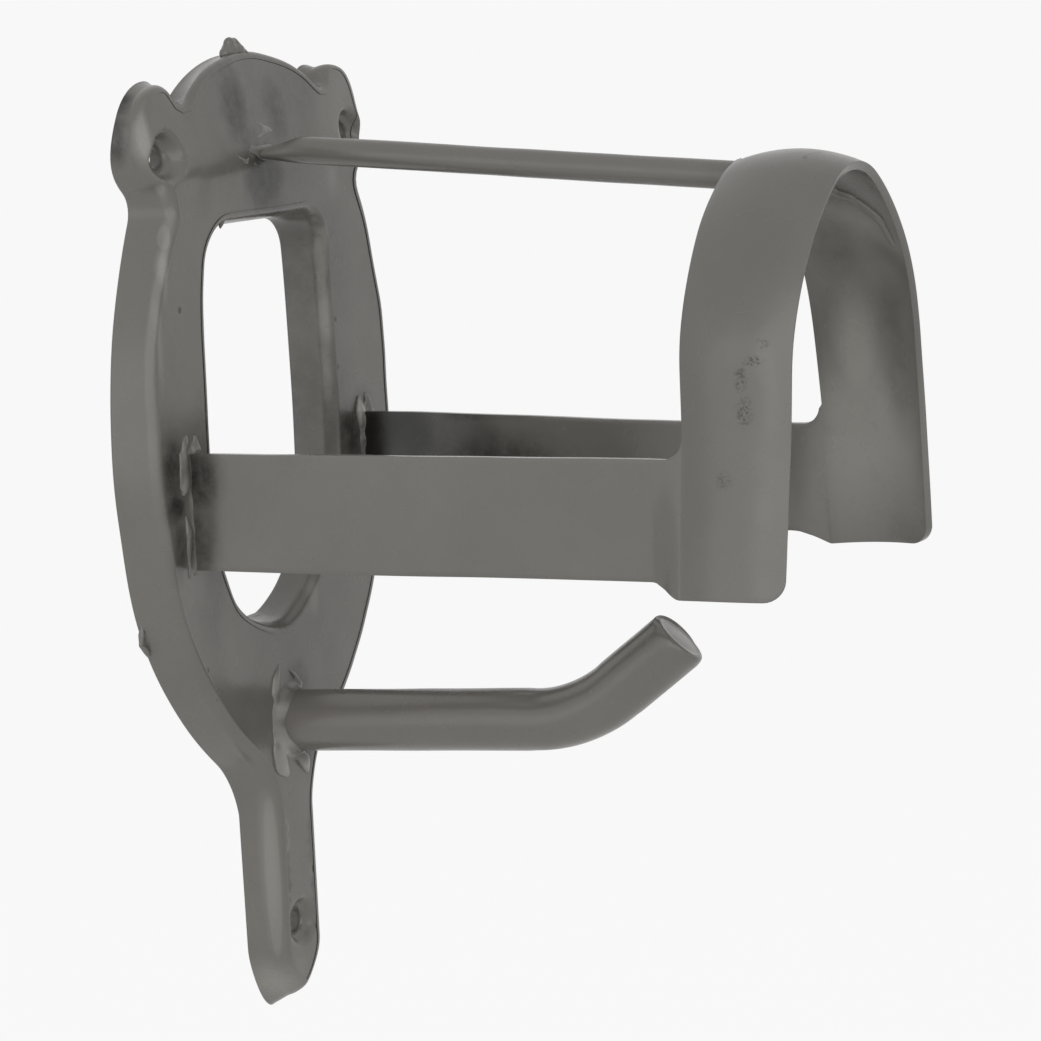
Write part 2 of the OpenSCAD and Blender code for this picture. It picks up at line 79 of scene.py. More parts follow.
def drop_off(value: np.ndarray | float, end: float, length: float) -> np.ndarray | float:
    """Drops smoothly from 1 at this length before the end to 0 at the end."""
    return ease((end - value) / length)


def wobble(x: float, y: float, z: float, size: float, seed: float) -> float:
    """Gentle swell, about -1 to 1, of a surface whose swells are this wide; the seed varies it."""
    return noise.noise(Vector((x / size + seed, y / size - seed, z / size + 2 * seed)))


@dataclass(frozen=True)
class Spring:
    """How the wall plate has sprung out of its plain pan.

    Attributes:
        depth: Depth of the pan.
        head: How far the face of the head stands forward.
        rim: How far the rim of the head stands off the wall.
        foot: How far the face stands back above the tail.
        fall: How far the face of the dome falls back at its top.
        toe: How far the face of the tail stands back.
    """

    depth: float = 12.0
    head: float = 1.6
    rim: float = 2.0
    foot: float = 1.2
    fall: float = 5.8
    toe: float = 1.2

    def at(self, out: float, z: float) -> float:
        """How far a point of the plate has moved out of the wall.

        Args:
            out: Distance from the wall.
            z: Height above the tip of the tail.

        Returns:
            The shift, below 0 towards the wall.
        """
        head = self.head * climb(z, 178, 32) * out / self.depth
        rim = self.rim * climb(z, 212, 16) * (1 - out / self.depth)
        foot = self.foot * climb(z, 42, 28) * drop_off(z, 128, 24) * out / self.depth
        fall = self.fall * (max(0.0, z - 212) / 28) ** 1.05 * out / self.depth
        toe = self.toe * drop_off(z, 62, 20) * out / self.depth
        return float(head + rim - foot - fall - toe)


SPRING = Spring()


def placed(name: str, data: bpy.types.ID) -> bpy.types.Object:
    """Puts a mesh, a lamp or a camera into the scene.

    Args:
        name: Name of the object.
        data: What the object holds.

    Returns:
        The new object.
    """
    obj = bpy.data.objects.new(name, data)
    bpy.context.collection.objects.link(obj)
    return obj


class Shell:
    """Points and faces of one mesh, in millimetres: x across, out of the wall, up."""

    def __init__(self) -> None:
        """Starts with no points."""
        self.points: list[Point] = []
        self.faces: list[tuple[int, ...]] = []

    def add(self, points: Iterable[Sequence[float]]) -> list[int]:
        """Adds points.

        Args:
            points: Points as x, distance from the wall and height.

        Returns:
            Their indices.
        """
        first = len(self.points)
        self.points.extend(tuple(float(c) for c in p) for p in points)
        return list(range(first, len(self.points)))

    def bridge(self, a: Sequence[int], b: Sequence[int], closed: bool = True) -> None:
        """Joins two rows of the same length with four-sided faces.

        Args:
            a: Indices of the first row.
            b: Indices of the second row.
            closed: True where the rows are rings.
        """
        n = len(a)
        for i in range(n if closed else n - 1):
            j = (i + 1) % n
            self.faces.append((a[i], a[j], b[j], b[i]))

    def rings(self, rows: Sequence[Sequence[Sequence[float]]]) -> list[list[int]]:
        """Adds rings of points and joins each to the next.

        Args:
            rows: Rings of the same length.

        Returns:
            The indices of each ring.
        """
        rings = [self.add(r) for r in rows]
        for a, b in zip(rings, rings[1:]):
            self.bridge(a, b)
        return rings

    def make(self, name: str, closed: bool = True) -> bpy.types.Object:
        """Makes the object, with doubled points joined and its shading smooth.

        Args:
            name: Name of the piece.
            closed: True where the faces enclose a solid, whose normals then face out.

        Returns:
            The new object.
        """
        mesh = bpy.data.meshes.new(name)
        mesh.from_pydata([in_frame(*p) for p in self.points], [], self.faces)
        bm = bmesh.new()
        bm.from_mesh(mesh)
        bmesh.ops.remove_doubles(bm, verts=bm.verts, dist=0.002 * MM)
        bmesh.ops.dissolve_degenerate(bm, dist=0.001 * MM, edges=bm.edges)
        if closed:
            bmesh.ops.recalc_face_normals(bm, faces=bm.faces)
        for face in bm.faces:
            face.smooth = True
        bm.to_mesh(mesh)
        bm.free()
        return placed(name, mesh)


def apply_modifiers(obj: bpy.types.Object) -> None:
    """Turns a piece's modifiers into plain mesh with smooth shading.

    Args:
        obj: The piece.
    """
    graph = bpy.context.evaluated_depsgraph_get()
    graph.update()
    mesh = bpy.data.meshes.new_from_object(obj.evaluated_get(graph))
    old = obj.data
    obj.modifiers.clear()
    obj.data = mesh
    mesh.name = obj.name
    bpy.data.meshes.remove(old)
    for face in mesh.polygons:
        face.use_smooth = True


# Finishes


class Mark(Enum):
    """Kinds of local marks in the dip coat, from the lowest layer to the topmost: painted highlights,
    painted highlight stripes on bends, soot with painted shade, specks with painted shade, and a rash of
    tiny dots.
    """

    # Painted highlights: paler coat where light falls
    PAINTED_HIGHLIGHT = "painted_highlight"
    # Painted highlight stripes along the bends, with crisp edges
    PAINTED_BEND_HIGHLIGHT = "pool"
    # Soot together with painted shade in recesses, corners and under things
    SOOT_AND_SHADE = "soot_and_shade"
    # Small dark specks, together with painted shade in pits, corners and under the rod
    SPECK_AND_SHADE = "speck"
    RASH = "rash"


# Scale per metre, number of octaves and share of the finer ones of each noise in the coat: broad
# change of tone, grain, change of gloss, orange peel and slow swell
BROAD = (28.0, 3.0, 0.55)
GRAIN = (420.0, 4.0, 0.6)
GLOSS = (60.0, 3.0, 0.5)
PEEL = (260.0, 3.0, 0.5)
SWELL = (60.0, 2.0, 0.4)
# Share of a spot's radius within which it has its full strength
CORE = {Mark.PAINTED_HIGHLIGHT: 0.15, Mark.PAINTED_BEND_HIGHLIGHT: 0.78, Mark.SOOT_AND_SHADE: 0.15, Mark.SPECK_AND_SHADE: 0.55, Mark.RASH: 0.15}
# Scale and detail of the noise that breaks a kind of mark up, the noise values at which it is
# weakest and strongest, and its strength at each
PATCHES = {Mark.PAINTED_HIGHLIGHT: (230.0, 6.0, 0.1, 0.45, 0.45, 1.0),
           Mark.SOOT_AND_SHADE: (230.0, 6.0, 0.3, 0.6, 0.45, 1.0),
           Mark.RASH: (1500.0, 3.0, 0.46, 0.6, 0.0, 1.0)}


@dataclass(frozen=True)
class Spot:
    """One local mark in a coat, round or long.

    Attributes:
        mark: What kind of mark it is.
        at: Middle of the mark: x, out of the wall, up.
        radius: Distance at which it has faded out.
        strength: Share of the mark's full tone.
        stretch: Width of the mark along x, out of the wall and up, as factors.
        turn: Turn of the mark about the upright, in degrees.
    """

    mark: Mark
    at: Point
    radius: float
    strength: float = 1.0
    stretch: Point = (1.0, 1.0, 1.0)
    turn: float = 0.0


def spots(mark: Mark, *rows: tuple) -> tuple[Spot, ...]:
    """Spots of one kind, from rows of their other values."""
    return tuple(Spot(mark, *row) for row in rows)


class CoatNodes:
    """Nodes of one coat, all in object coordinates."""

    def __init__(self, tree: bpy.types.NodeTree) -> None:
        """Takes the coat's node tree and adds its coordinates."""
        self.tree = tree
        self.coords = tree.nodes.new("ShaderNodeTexCoord").outputs["Object"]

    def _add(self, kind: str, links: dict[str | int, bpy.types.NodeSocket],
             values: dict[str | int, float | tuple]) -> bpy.types.Node:
        """Adds a node.

        Args:
            kind: Kind of the node.
            links: Sockets that feed its inputs.
            values: Plain values of its inputs.

        Returns:
            The node.
        """
        node = self.tree.nodes.new("ShaderNode" + kind)
        for name, value in values.items():
            node.inputs[name].default_value = value
        for name, socket in links.items():
            self.tree.links.new(socket, node.inputs[name])
        return node

    def noise(self, scale: float, detail: float, roughness: float) -> bpy.types.NodeSocket:
        """Noise of a scale per metre, a number of octaves and a share of the finer ones."""
        values = {"Scale": scale, "Detail": detail, "Roughness": roughness}
        return self._add("TexNoise", {"Vector": self.coords}, values).outputs["Fac"]

    def ranged(self, value: bpy.types.NodeSocket, low: float, high: float, to_low: float,
               to_high: float, smooth: bool = False) -> bpy.types.NodeSocket:
        """Changes a value's range and clamps it.

        Args:
            value: Value to change.
            low: Lower end of the value.
            high: Upper end of the value.
            to_low: Result at the lower end.
            to_high: Result at the upper end.
            smooth: True for a smooth step.

        Returns:
            The changed value.
        """
        ends = {"From Min": low, "From Max": high, "To Min": to_low, "To Max": to_high}
        node = self._add("MapRange", {}, {})
        if smooth:
            node.interpolation_type = "SMOOTHSTEP"
        for name, number in ends.items():
            node.inputs[name].default_value = number
        self.tree.links.new(value, node.inputs["Value"])
        return node.outputs["Result"]

    def mix(self, factor: bpy.types.NodeSocket, a: bpy.types.NodeSocket | tuple,
            b: bpy.types.NodeSocket | tuple) -> bpy.types.NodeSocket:
        """Mixes two colours.

        Args:
            factor: Share of the second colour.
            a: First colour, a socket or a value.
            b: Second colour, a socket or a value.

        Returns:
            The mixed colour.
        """
        node = self._add("Mix", {}, {})
        node.data_type = "RGBA"
        self.tree.links.new(factor, node.inputs["Factor"])
        for colour, socket in ((a, node.inputs[6]), (b, node.inputs[7])):
            if isinstance(colour, tuple):
                socket.default_value = colour
            else:
                self.tree.links.new(colour, socket)
        return node.outputs[2]

    def combine(self, operation: str, a: bpy.types.NodeSocket,
                b: bpy.types.NodeSocket) -> bpy.types.NodeSocket:
        """Joins two values into one.

        Args:
            operation: How they are joined.
            a: First value.
            b: Second value.

        Returns:
            The joined value.
        """
        node = self._add("Math", {0: a, 1: b}, {})
        node.operation = operation
        return node.outputs[0]

    def distance(self, spot: Spot) -> bpy.types.NodeSocket:
        """Measures how far each point lies from a spot's middle, in its own stretched space.

        Args:
            spot: The spot.

        Returns:
            The distance in metres.
        """
        values = {"Location": in_frame(*spot.at), "Rotation": (0.0, 0.0, math.radians(spot.turn)),
                  "Scale": spot.stretch}
        place = self._add("Mapping", {"Vector": self.coords}, {})
        place.vector_type = "TEXTURE"
        for name, value in values.items():
            place.inputs[name].default_value = value
        length = self._add("VectorMath", {0: place.outputs["Vector"]}, {})
        length.operation = "LENGTH"
        return length.outputs["Value"]

    def bump(self, height: float, noise_value: bpy.types.NodeSocket,
             normal: bpy.types.NodeSocket | None = None) -> bpy.types.NodeSocket:
        """Normal of a surface raised by a noise of this height in millimetres."""
        links = {"Height": noise_value} | ({"Normal": normal} if normal is not None else {})
        return self._add("Bump", links, {"Strength": 1.0, "Distance": height * MM}).outputs["Normal"]


@dataclass(frozen=True)
class DipCoat:
    """Satin warm grey dip coat over steel.

    Attributes:
        name: Name of the material.
        tone: Linear colour of the coat.
        soot_and_shade: Linear colour of soot and of painted shade in recesses, pits, corners and under the
            bars; the specks and the rash take it too.
        pale: Linear colour of the painted highlights and painted highlight stripes.
        roughness: Roughness of the coat.
        peel: Height of the coat's orange peel in millimetres.
        mottle: Strength of the broad change of tone.
        spots: Local marks.
    """

    name: str
    tone: tuple[float, float, float] = (0.162, 0.153, 0.138)
    soot_and_shade: tuple[float, float, float] = (0.012, 0.0115, 0.0105)
    pale: tuple[float, float, float] = (0.30, 0.29, 0.265)
    roughness: float = 0.26
    peel: float = 0.04
    mottle: float = 0.5
    spots: tuple[Spot, ...] = ()

    def build(self) -> bpy.types.Material:
        """Makes the node material.

        Returns:
            The material.
        """
        mat = bpy.data.materials.new(self.name)
        mat.use_nodes = True
        shader = mat.node_tree.nodes["Principled BSDF"]
        nodes = CoatNodes(mat.node_tree)

        broad = nodes.ranged(nodes.noise(*BROAD), 0.35, 0.68, 0.0, self.mottle)
        grain = nodes.ranged(nodes.noise(*GRAIN), 0.35, 0.7, 0.0, 0.5)
        tone = nodes.mix(broad, self._shade(0.9), self._shade(1.1))
        tone = nodes.mix(grain, tone, self._shade(0.93))
        for mark in Mark:
            mask = self._mask(nodes, mark)
            if mask is not None:
                # Painted highlights take the pale colour; soot with painted shade, specks with painted
                # shade and the rash take the dark one
                colour = self.pale if mark in (Mark.PAINTED_HIGHLIGHT, Mark.PAINTED_BEND_HIGHLIGHT) else self.soot_and_shade
                tone = nodes.mix(mask, tone, (*colour, 1.0))
        rough = nodes.ranged(nodes.noise(*GLOSS), 0.3, 0.7,
                             self.roughness - 0.06, self.roughness + 0.08)
        peel = nodes.bump(self.peel, nodes.noise(*PEEL))
        swell = nodes.bump(6 * self.peel, nodes.noise(*SWELL), peel)
        for name, socket in (("Base Color", tone), ("Roughness", rough), ("Normal", swell)):
            nodes.tree.links.new(socket, shader.inputs[name])
        shader.inputs["IOR"].default_value = 1.5
        shader.inputs["Metallic"].default_value = 0.0
        return mat

    def _shade(self, level: float) -> tuple[float, float, float, float]:
        """The coat's tone made lighter or darker, with alpha."""
        return (*(c * level for c in self.tone), 1.0)

    def _mask(self, nodes: CoatNodes, mark: Mark) -> bpy.types.NodeSocket | None:
        """Gathers the spots of one kind into a mask.

        Args:
            nodes: Nodes of the coat.
            mark: The kind of mark.

        Returns:
            The mask, or None where the coat has no such spot.
        """
        whole = None
        for spot in self.spots:
            if spot.mark is mark:
                reach = spot.radius * MM
                value = nodes.ranged(nodes.distance(spot), reach * CORE[mark], reach,
                                     spot.strength, 0.0, smooth=True)
                whole = value if whole is None else nodes.combine("MAXIMUM", whole, value)
        if whole is None or mark not in PATCHES:
            return whole
        scale, detail, *ends = PATCHES[mark]
        return nodes.combine("MULTIPLY", whole, nodes.ranged(nodes.noise(scale, detail, 0.7), *ends))


def dress(obj: bpy.types.Object, coat: DipCoat, slot: str, *nodes: str) -> bpy.types.Object:
    """Gives a piece its coat and places it in the frame.

    Args:
        obj: The piece.
        coat: Its finish.
        slot: The record's material slot; not used.
        nodes: CAD nodes that the piece stands for.

    Returns:
        The piece.
    """
    obj.data.materials.clear()
    obj.data.materials.append(coat.build())
    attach(obj, BODY)
    if nodes:
        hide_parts(*nodes)
    log.info("%s: %d points, %d faces", obj.name, len(obj.data.vertices), len(obj.data.polygons))
    return obj


# Wall plate


@dataclass(frozen=True)
class Arc:
    """One arc of an outline.

    Attributes:
        centre: Centre of the arc: x and height.
        radius: Radius.
        start: First angle in degrees.
        end: Last angle in degrees.
        bulge: 1 where the arc bulges out of the outline, -1 where it bulges in.
    """

    centre: tuple[float, float]
    radius: float
    start: float
    end: float
    bulge: int = 1

    def points(self, grow: float, step: float) -> np.ndarray:
        """Points of the arc.

        Args:
            grow: How far the whole outline has grown.
            step: Distance between points on the arc before it grows.

        Returns:
            Points as rows of x and height.
        """
        n = max(2, math.ceil(self.radius * math.radians(abs(self.end - self.start)) / step))
        a = np.radians(np.linspace(self.start, self.end, n + 1))
        r = self.radius + self.bulge * grow
        return np.stack([self.centre[0] + r * np.cos(a), self.centre[1] + r * np.sin(a)], 1)


def heading(a: Sequence[float], b: Sequence[float]) -> float:
    """Direction from one point to another, in degrees."""
    return math.degrees(math.atan2(b[1] - a[1], b[0] - a[0]))


def leg_of(long: float, leg: float) -> float:
    """Other leg of a right triangle, from its long side and one leg."""
    return math.sqrt(long * long - leg * leg)


def meet(a: Sequence[float], ra: float, b: Sequence[float], rb: float) -> tuple[float, float]:
    """Where two circles cross, on the left of the line between their centres.

    Args:
        a: First centre.
        ra: First radius.
        b: Second centre.
        rb: Second radius.

    Returns:
        The crossing.
    """
    d = math.dist(a, b)
    ux, uz = (b[0] - a[0]) / d, (b[1] - a[1]) / d
    along = (d * d + ra * ra - rb * rb) / (2 * d)
    across = leg_of(ra, along)
    return (a[0] + along * ux - across * uz, a[1] + along * uz + across * ux)


@dataclass(frozen=True)
class Outline:
    """A closed outline that is the same on both sides of x = 0.

    Attributes:
        arcs: Arcs of the half with x above 0, from the top to the bottom.
        step: Distance between points.
    """

    arcs: tuple[Arc, ...]
    step: float = 1.3

    def ring(self, grow: float) -> np.ndarray:
        """The whole outline as a ring of points.

        Args:
            grow: How far the outline has grown.

        Returns:
            Points as rows of x and height.
        """
        parts = [arc.points(grow, self.step)[:-1] for arc in self.arcs[:-1]]
        half = np.concatenate([*parts, self.arcs[-1].points(grow, self.step)])
        half[0, 0] = half[-1, 0] = 0.0
        return np.concatenate([half, half[-2:0:-1] * [-1.0, 1.0]])


def inside(ring: np.ndarray, points: np.ndarray) -> np.ndarray:
    """Which points lie inside a ring.

    Args:
        ring: Corners of the ring.
        points: Points to test.

    Returns:
        True for each point inside.
    """
    x, z = points[:, 0], points[:, 1]
    result = np.zeros(len(points), bool)
    for (x1, z1), (x2, z2) in zip(ring, np.roll(ring, -1, axis=0)):
        if z1 == z2:
            continue
        crosses = ((z1 > z) != (z2 > z)) & (x < (x2 - x1) * (z - z1) / (z2 - z1) + x1)
        result ^= crosses
    return result


@dataclass
class WallPlate:
    """Pressed pan with a domed head, two ears, a flanged window and a tail."""

    height: float = 240.0
    depth: float = 12.0
    sheet: float = 2.0
    bend: float = 1.0
    flange_lean: float = 1.5
    window_lean: float = 1.0
    dome_r: float = 46.0
    ear: tuple[float, float] = (38.5, 235.6)
    ear_inner_r: float = 7.0
    ear_outer_r: float = 15.0
    notch_r: float = 2.5
    waist_r: float = 6.0
    half_width: float = 59.8
    widest_z: float = 145.0
    upper_side_r: float = 130.0
    lower_side_r: float = 100.0
    neck_r: float = 20.0
    tail_half: float = 10.6
    tail_side_r: float = 17.0
    tail_tip_r: float = 5.5
    window_half: float = 28.8
    window_top: float = 198.0
    window_corner_r: float = 9.0
    window_side_r: float = 500.0
    window_mid: float = 150.0
    window_low_r: float = 34.0
    window_low: float = 132.0
    window_tip_r: float = 14.0
    hole_r: float = 3.0
    dimple_r: float = 6.6
    seat_r: float = 3.9
    dimple_depth: float = 3.5
    holes: tuple[tuple[float, float], ...] = ((44.3, 217.5), (-44.3, 217.5), (0.0, 20.3))
    ear_soft: float = 6.5
    tail_soft: float = 6.0
    window_soft: float = 4.4
    window_shift: float = -2.0
    shoulder: float = 0.3
    burr: float = 5.5
    burr_wall: float = 0.9
    mesh_step: tuple[float, float] = (2.2, 1.9)
    mesh_gap: float = 0.55
    bore_gap: float = 0.3
    dimple_rings: tuple[float, ...] = (3.5, 4.1, 4.8, 5.6, 6.4, 7.2)
    straight_r: float = 1e5
    # How far this plate differs from the plain pan
    tail_dimple: float = 0.6
    ear_sink: float = 0.7
    dents: tuple[float, float] = (0.3, 0.12)
    ripple: tuple[float, float] = (0.3, 0.25)
    flare: float = 2.0
    body_swell: float = 1.7
    dome_swell: float = 3.0
    tail_swell: float = 1.5
    foot_pull: float = 1.3
    dome_rise: float = 3.2
    ear_hold: tuple[float, float] = (0.45, 0.1)
    tip_rise: float = 3.2
    tip_drop: float = 2.4
    tip_narrow: float = 0.13
    coat: DipCoat = field(default_factory=lambda: DipCoat("plate_coat", spots=PLATE_MARKS))

    def outline(self) -> Outline:
        """Lays out the plate's outline.

        Returns:
            The outline at the wall.
        """
        dome = (0.0, self.height - self.dome_r)
        inner = (self.ear[0], self.ear[1] - self.ear_inner_r)
        outer = (self.ear[0], self.ear[1] - self.ear_outer_r)
        upper = (self.half_width - self.upper_side_r, self.widest_z)
        lower = (self.half_width - self.lower_side_r, self.widest_z)
        neck_x = self.tail_half + self.neck_r
        neck = (neck_x, self.widest_z - leg_of(self.lower_side_r + self.neck_r, neck_x - lower[0]))
        side_x = self.tail_half - self.tail_side_r
        side = (side_x, self.tail_tip_r + leg_of(self.tail_side_r - self.tail_tip_r, side_x))
        tip = (0.0, self.tail_tip_r)
        notch = meet(dome, self.dome_r + self.notch_r, inner, self.ear_inner_r + self.notch_r)
        waist = meet(outer, self.ear_outer_r + self.waist_r, upper, self.upper_side_r + self.waist_r)
        return Outline((
            Arc(dome, self.dome_r, 90, heading(dome, notch)),
            Arc(notch, self.notch_r, heading(notch, dome), heading(notch, inner), -1),
            Arc(inner, self.ear_inner_r, heading(inner, notch), 90),
            Arc(outer, self.ear_outer_r, 90, heading(outer, waist)),
            Arc(waist, self.waist_r, heading(waist, outer), heading(waist, upper) + 360, -1),
            Arc(upper, self.upper_side_r, heading(upper, waist), 0),
            Arc(lower, self.lower_side_r, 0, heading(lower, neck)),
            Arc(neck, self.neck_r, heading(neck, lower), 180, -1),
            Arc(side, self.tail_side_r, 0, heading(side, tip)),
            Arc(tip, self.tail_tip_r, heading(side, tip), -90)))

    def window(self) -> Outline:
        """Lays out the window's outline.

        Returns:
            The outline at the wall.
        """
        top = self.window_top - self.window_corner_r
        side = (self.window_half - self.window_side_r, self.window_mid)
        to_corner = leg_of(self.window_side_r - self.window_corner_r, top - self.window_mid)
        to_low = leg_of(self.window_side_r - self.window_low_r, self.window_low - self.window_mid)
        corner = (side[0] + to_corner, top)
        low = (side[0] + to_low, self.window_low)
        tip = (0.0, self.window_low - leg_of(self.window_low_r - self.window_tip_r, low[0]))
        far = self.straight_r
        return Outline((
            Arc((0.0, far + self.window_top), far, -90, -90 + math.degrees(corner[0] / far), -1),
            Arc(corner, self.window_corner_r, 90, heading(side, corner)),
            Arc(side, self.window_side_r, heading(side, corner), heading(side, low)),
            Arc(low, self.window_low_r, heading(side, low), heading(low, tip)),
            Arc(tip, self.window_tip_r, heading(low, tip), -90)))

    def build(self) -> bpy.types.Object:
        """Builds and dresses the plate.

        Returns:
            The plate.
        """
        shell = Shell()
        outer, window = self.outline(), self.window()
        self._turn(shell, outer, self.flange_lean, -1)
        self._turn(shell, window, self.window_lean, 1, self.window_shift)
        self._faces(shell, outer, window)
        shell.points = [self._shape(*p) for p in shell.points]
        return dress(shell.make("wall_plate_pressing"), self.coat, "plate_coat", "wall_plate")

    def _section(self, lean: float, softness: np.ndarray) -> list[tuple[np.ndarray, np.ndarray]]:
        """Section of a flange from the face, round its coated rim, to the back of the face.

        Args:
            lean: How far the flange leans between the wall and the bend.
            softness: Depth of the bend's outside at each point of the outline.

        Returns:
            Pairs of distance from the wall and growth of the outline, at each point.
        """
        same = np.ones_like(softness)
        start = self.depth - softness
        centre = lean + self.bend + self.sheet
        outer_r = self.bend + self.sheet
        rim = self.sheet / 2
        rows = [(start + softness * math.sin(a) + self.shoulder * max(0.0, math.sin(2 * a - 0.9)) ** 2,
                 (centre - outer_r * math.cos(a)) * same)
                for a in np.radians(np.linspace(90, 0, 13))]
        rows += [(rim + (start - rim) * s, lean * (rim + (start - rim) * s) / start)
                 for s in np.linspace(1, 0, 7)[1:]]
        rows += [(rim * (1 - math.sin(a)) * same, rim * (1 - math.cos(a)) * same)
                 for a in np.radians(np.linspace(0, 180, 9))[1:]]
        rows += [(rim + (start - rim) * s, self.sheet + lean * (rim + (start - rim) * s) / start)
                 for s in np.linspace(0, 1, 6)[1:]]
        return rows + [(start + (softness - self.sheet) * math.sin(a),
                        (centre - self.bend * math.cos(a)) * same)
                       for a in np.radians(np.linspace(0, 90, 5))[1:]]

    def _softness(self, ring: np.ndarray, side: int) -> np.ndarray:
        """Depth of the bend's outside round an outline.

        Args:
            ring: Points of the outline at the wall.
            side: -1 for the outer flange and 1 for the window's.

        Returns:
            The depth at each point.
        """
        x, z = np.abs(ring[:, 0]), ring[:, 1]
        if side > 0:
            return np.full(len(ring), self.window_soft)
        ear = climb(x, 30, 6) * climb(z, 206, 10)
        tail = drop_off(z, 74, 26)
        hard = self.bend + self.sheet
        return hard + (self.ear_soft - hard) * ear + (self.tail_soft - hard) * tail

    def _turn(self, shell: Shell, outline: Outline, lean: float, side: int,
              shift: float = 0.0) -> None:
        """Runs the flange's section round an outline.

        Args:
            shell: Mesh that takes the faces.
            outline: The outline.
            lean: How far the flange leans between the wall and the bend.
            side: -1 for the outer flange and 1 for the window's.
            shift: How far the outline lies off the middle.
        """
        base = outline.ring(0.0)
        away = outline.ring(1.0) - base
        base = base + [shift, 0.0]
        rows = []
        for out, growth in self._section(lean, self._softness(base, side)):
            flat = base + away * (side * growth)[:, None]
            rows.append(np.column_stack([flat[:, 0], out, flat[:, 1]]))
        shell.rings(rows)

    def _faces(self, shell: Shell, outer: Outline, window: Outline) -> None:
        """Fills the face and its back between the bends, and lines the screw holes.

        Args:
            shell: Mesh that takes the faces.
            outer: Outline of the plate.
            window: Outline of the window.
        """
        corner = self.bend + self.sheet
        rim = outer.ring(-self.flange_lean - corner)
        opening = window.ring(self.window_lean + corner) + [self.window_shift, 0.0]
        turn = np.radians(np.arange(0, 360, 7.5))
        circle = np.stack([np.cos(turn), np.sin(turn)], 1)
        bores = [np.array(h) + self.hole_r * circle for h in self.holes]
        loops = [rim, opening, *bores]
        step_x, step_z = self.mesh_step
        grid = [(x + step_x / 2 * (j % 2), z)
                for j, z in enumerate(np.arange(2, self.height, step_z))
                for x in np.arange(-60, 60, step_x)]
        near = [np.array(h) + r * circle[::2] for h in self.holes for r in self.dimple_rings]
        loose = np.concatenate([np.array(grid), *near])
        loose = loose[inside(rim, loose) & ~inside(opening, loose)]
        edge = np.concatenate(loops)
        for start in range(0, len(edge), 400):
            gap = np.linalg.norm(loose[:, None] - edge[None, start:start + 400], axis=2).min(axis=1)
            loose = loose[gap > self.mesh_gap]
        for h in self.holes:
            loose = loose[np.linalg.norm(loose - h, axis=1) > self.hole_r + self.bore_gap]
        kept = np.concatenate([edge, loose])
        edges, first = [], 0
        for loop in loops:
            n = len(loop)
            edges += [(first + i, first + (i + 1) % n) for i in range(n)]
            first += n
        flat, _, tris, *_ = delaunay_2d_cdt([Vector(p) for p in kept], edges, [], 0, 1e-5)
        middles = np.array([np.mean([flat[i] for i in tri], axis=0) for tri in tris])
        solid = inside(rim, middles)
        for hole in (opening, *bores):
            solid &= ~inside(hole, middles)
        tris = [tri for tri, steel in zip(tris, solid) if steel]
        for d in (self.depth, self.depth - self.sheet):
            index = shell.add((p.x, d, p.y) for p in flat)
            shell.faces.extend(tuple(index[i] for i in tri) for tri in tris)
        back = self.depth - self.burr
        for hole in self.holes:
            section = [(self.hole_r, d) for d in np.linspace(self.depth, back, 5)]
            section += [(self.hole_r + self.burr_wall / 2, back - 0.2),
                        (self.hole_r + self.burr_wall, back),
                        (self.hole_r + 1.0, self.depth - self.sheet - 0.2)]
            shell.rings([[(x, d, z) for x, z in np.array(hole) + r * circle] for r, d in section])

    def _shape(self, x: float, d: float, z: float) -> Point:
        """Presses the dimples and gives the flat pan its hand-finished unevenness.

        Args:
            x: Distance across.
            d: Distance from the wall.
            z: Height.

        Returns:
            The shaped point.
        """
        wide, up = abs(x), float(climb(d, 3, 6))
        sink = 0.0
        for hx, hz in self.holes:
            r = math.hypot(x - hx, z - hz)
            if r < self.dimple_r:
                deep = self.dimple_depth * (1.0 if hz > 100 else self.tail_dimple)
                sink = deep * float(ease((self.dimple_r - r) / (self.dimple_r - self.seat_r)))
        lobe = float(climb(wide, 28, 8) * climb(z, 200, 8)
                     * ease((math.hypot(wide - 40, z - 219) - 6) / 10))
        sink += self.ear_sink * lobe * d / self.depth
        dent = self.dents[0] * wobble(x, 0, z, 30, 3.1) + self.dents[1] * wobble(x, 0, z, 9, 5.7)
        out = d - sink * up + dent * up + SPRING.at(d, z)

        hole = math.hypot(wide - self.holes[0][0], z - self.holes[0][1])
        off_hole = climb(hole, 6, 8)
        foot = float(climb(z, 40, 25) * drop_off(z, 130, 30))
        body = float(climb(wide, 38, 8) * climb(z, 150, 25) * drop_off(z, 226, 14))
        dome = float(climb(wide, 8, 12) * climb(z, 216, 10) * off_hole)
        tail = float(drop_off(z, 62, 20) * climb(wide, 4, 6))
        swell = self.body_swell * body + self.dome_swell * dome + self.tail_swell * tail
        side = self.ripple[0] * wobble(x, d, z, 22, 8.3)
        side += self.flare * (1 - d / self.depth) * foot + swell * d / self.depth
        low = float(drop_off(z, 134, 14) * drop_off(wide, 28, 8) * climb(z, 96, 6))

        rise = self.dome_rise * (d / self.depth) ** 2 * float(climb(z, 214, 16) * off_hole)
        rise *= 1 - self.ear_hold[0 if x < 0 else 1] * float(climb(wide, 26, 9))
        end = float(drop_off(z, 15, 13))
        tip = self.tip_rise * d / self.depth - self.tip_drop
        rise += tip * end * max(0.0, 1 - (x / 15) ** 2)
        x *= 1 - self.tip_narrow * end
        rise += self.ripple[1] * wobble(x, d, z, 25, 1.9)
        return (x + side * (1 if x > 0 else -1) - self.foot_pull * low, out, z + rise)
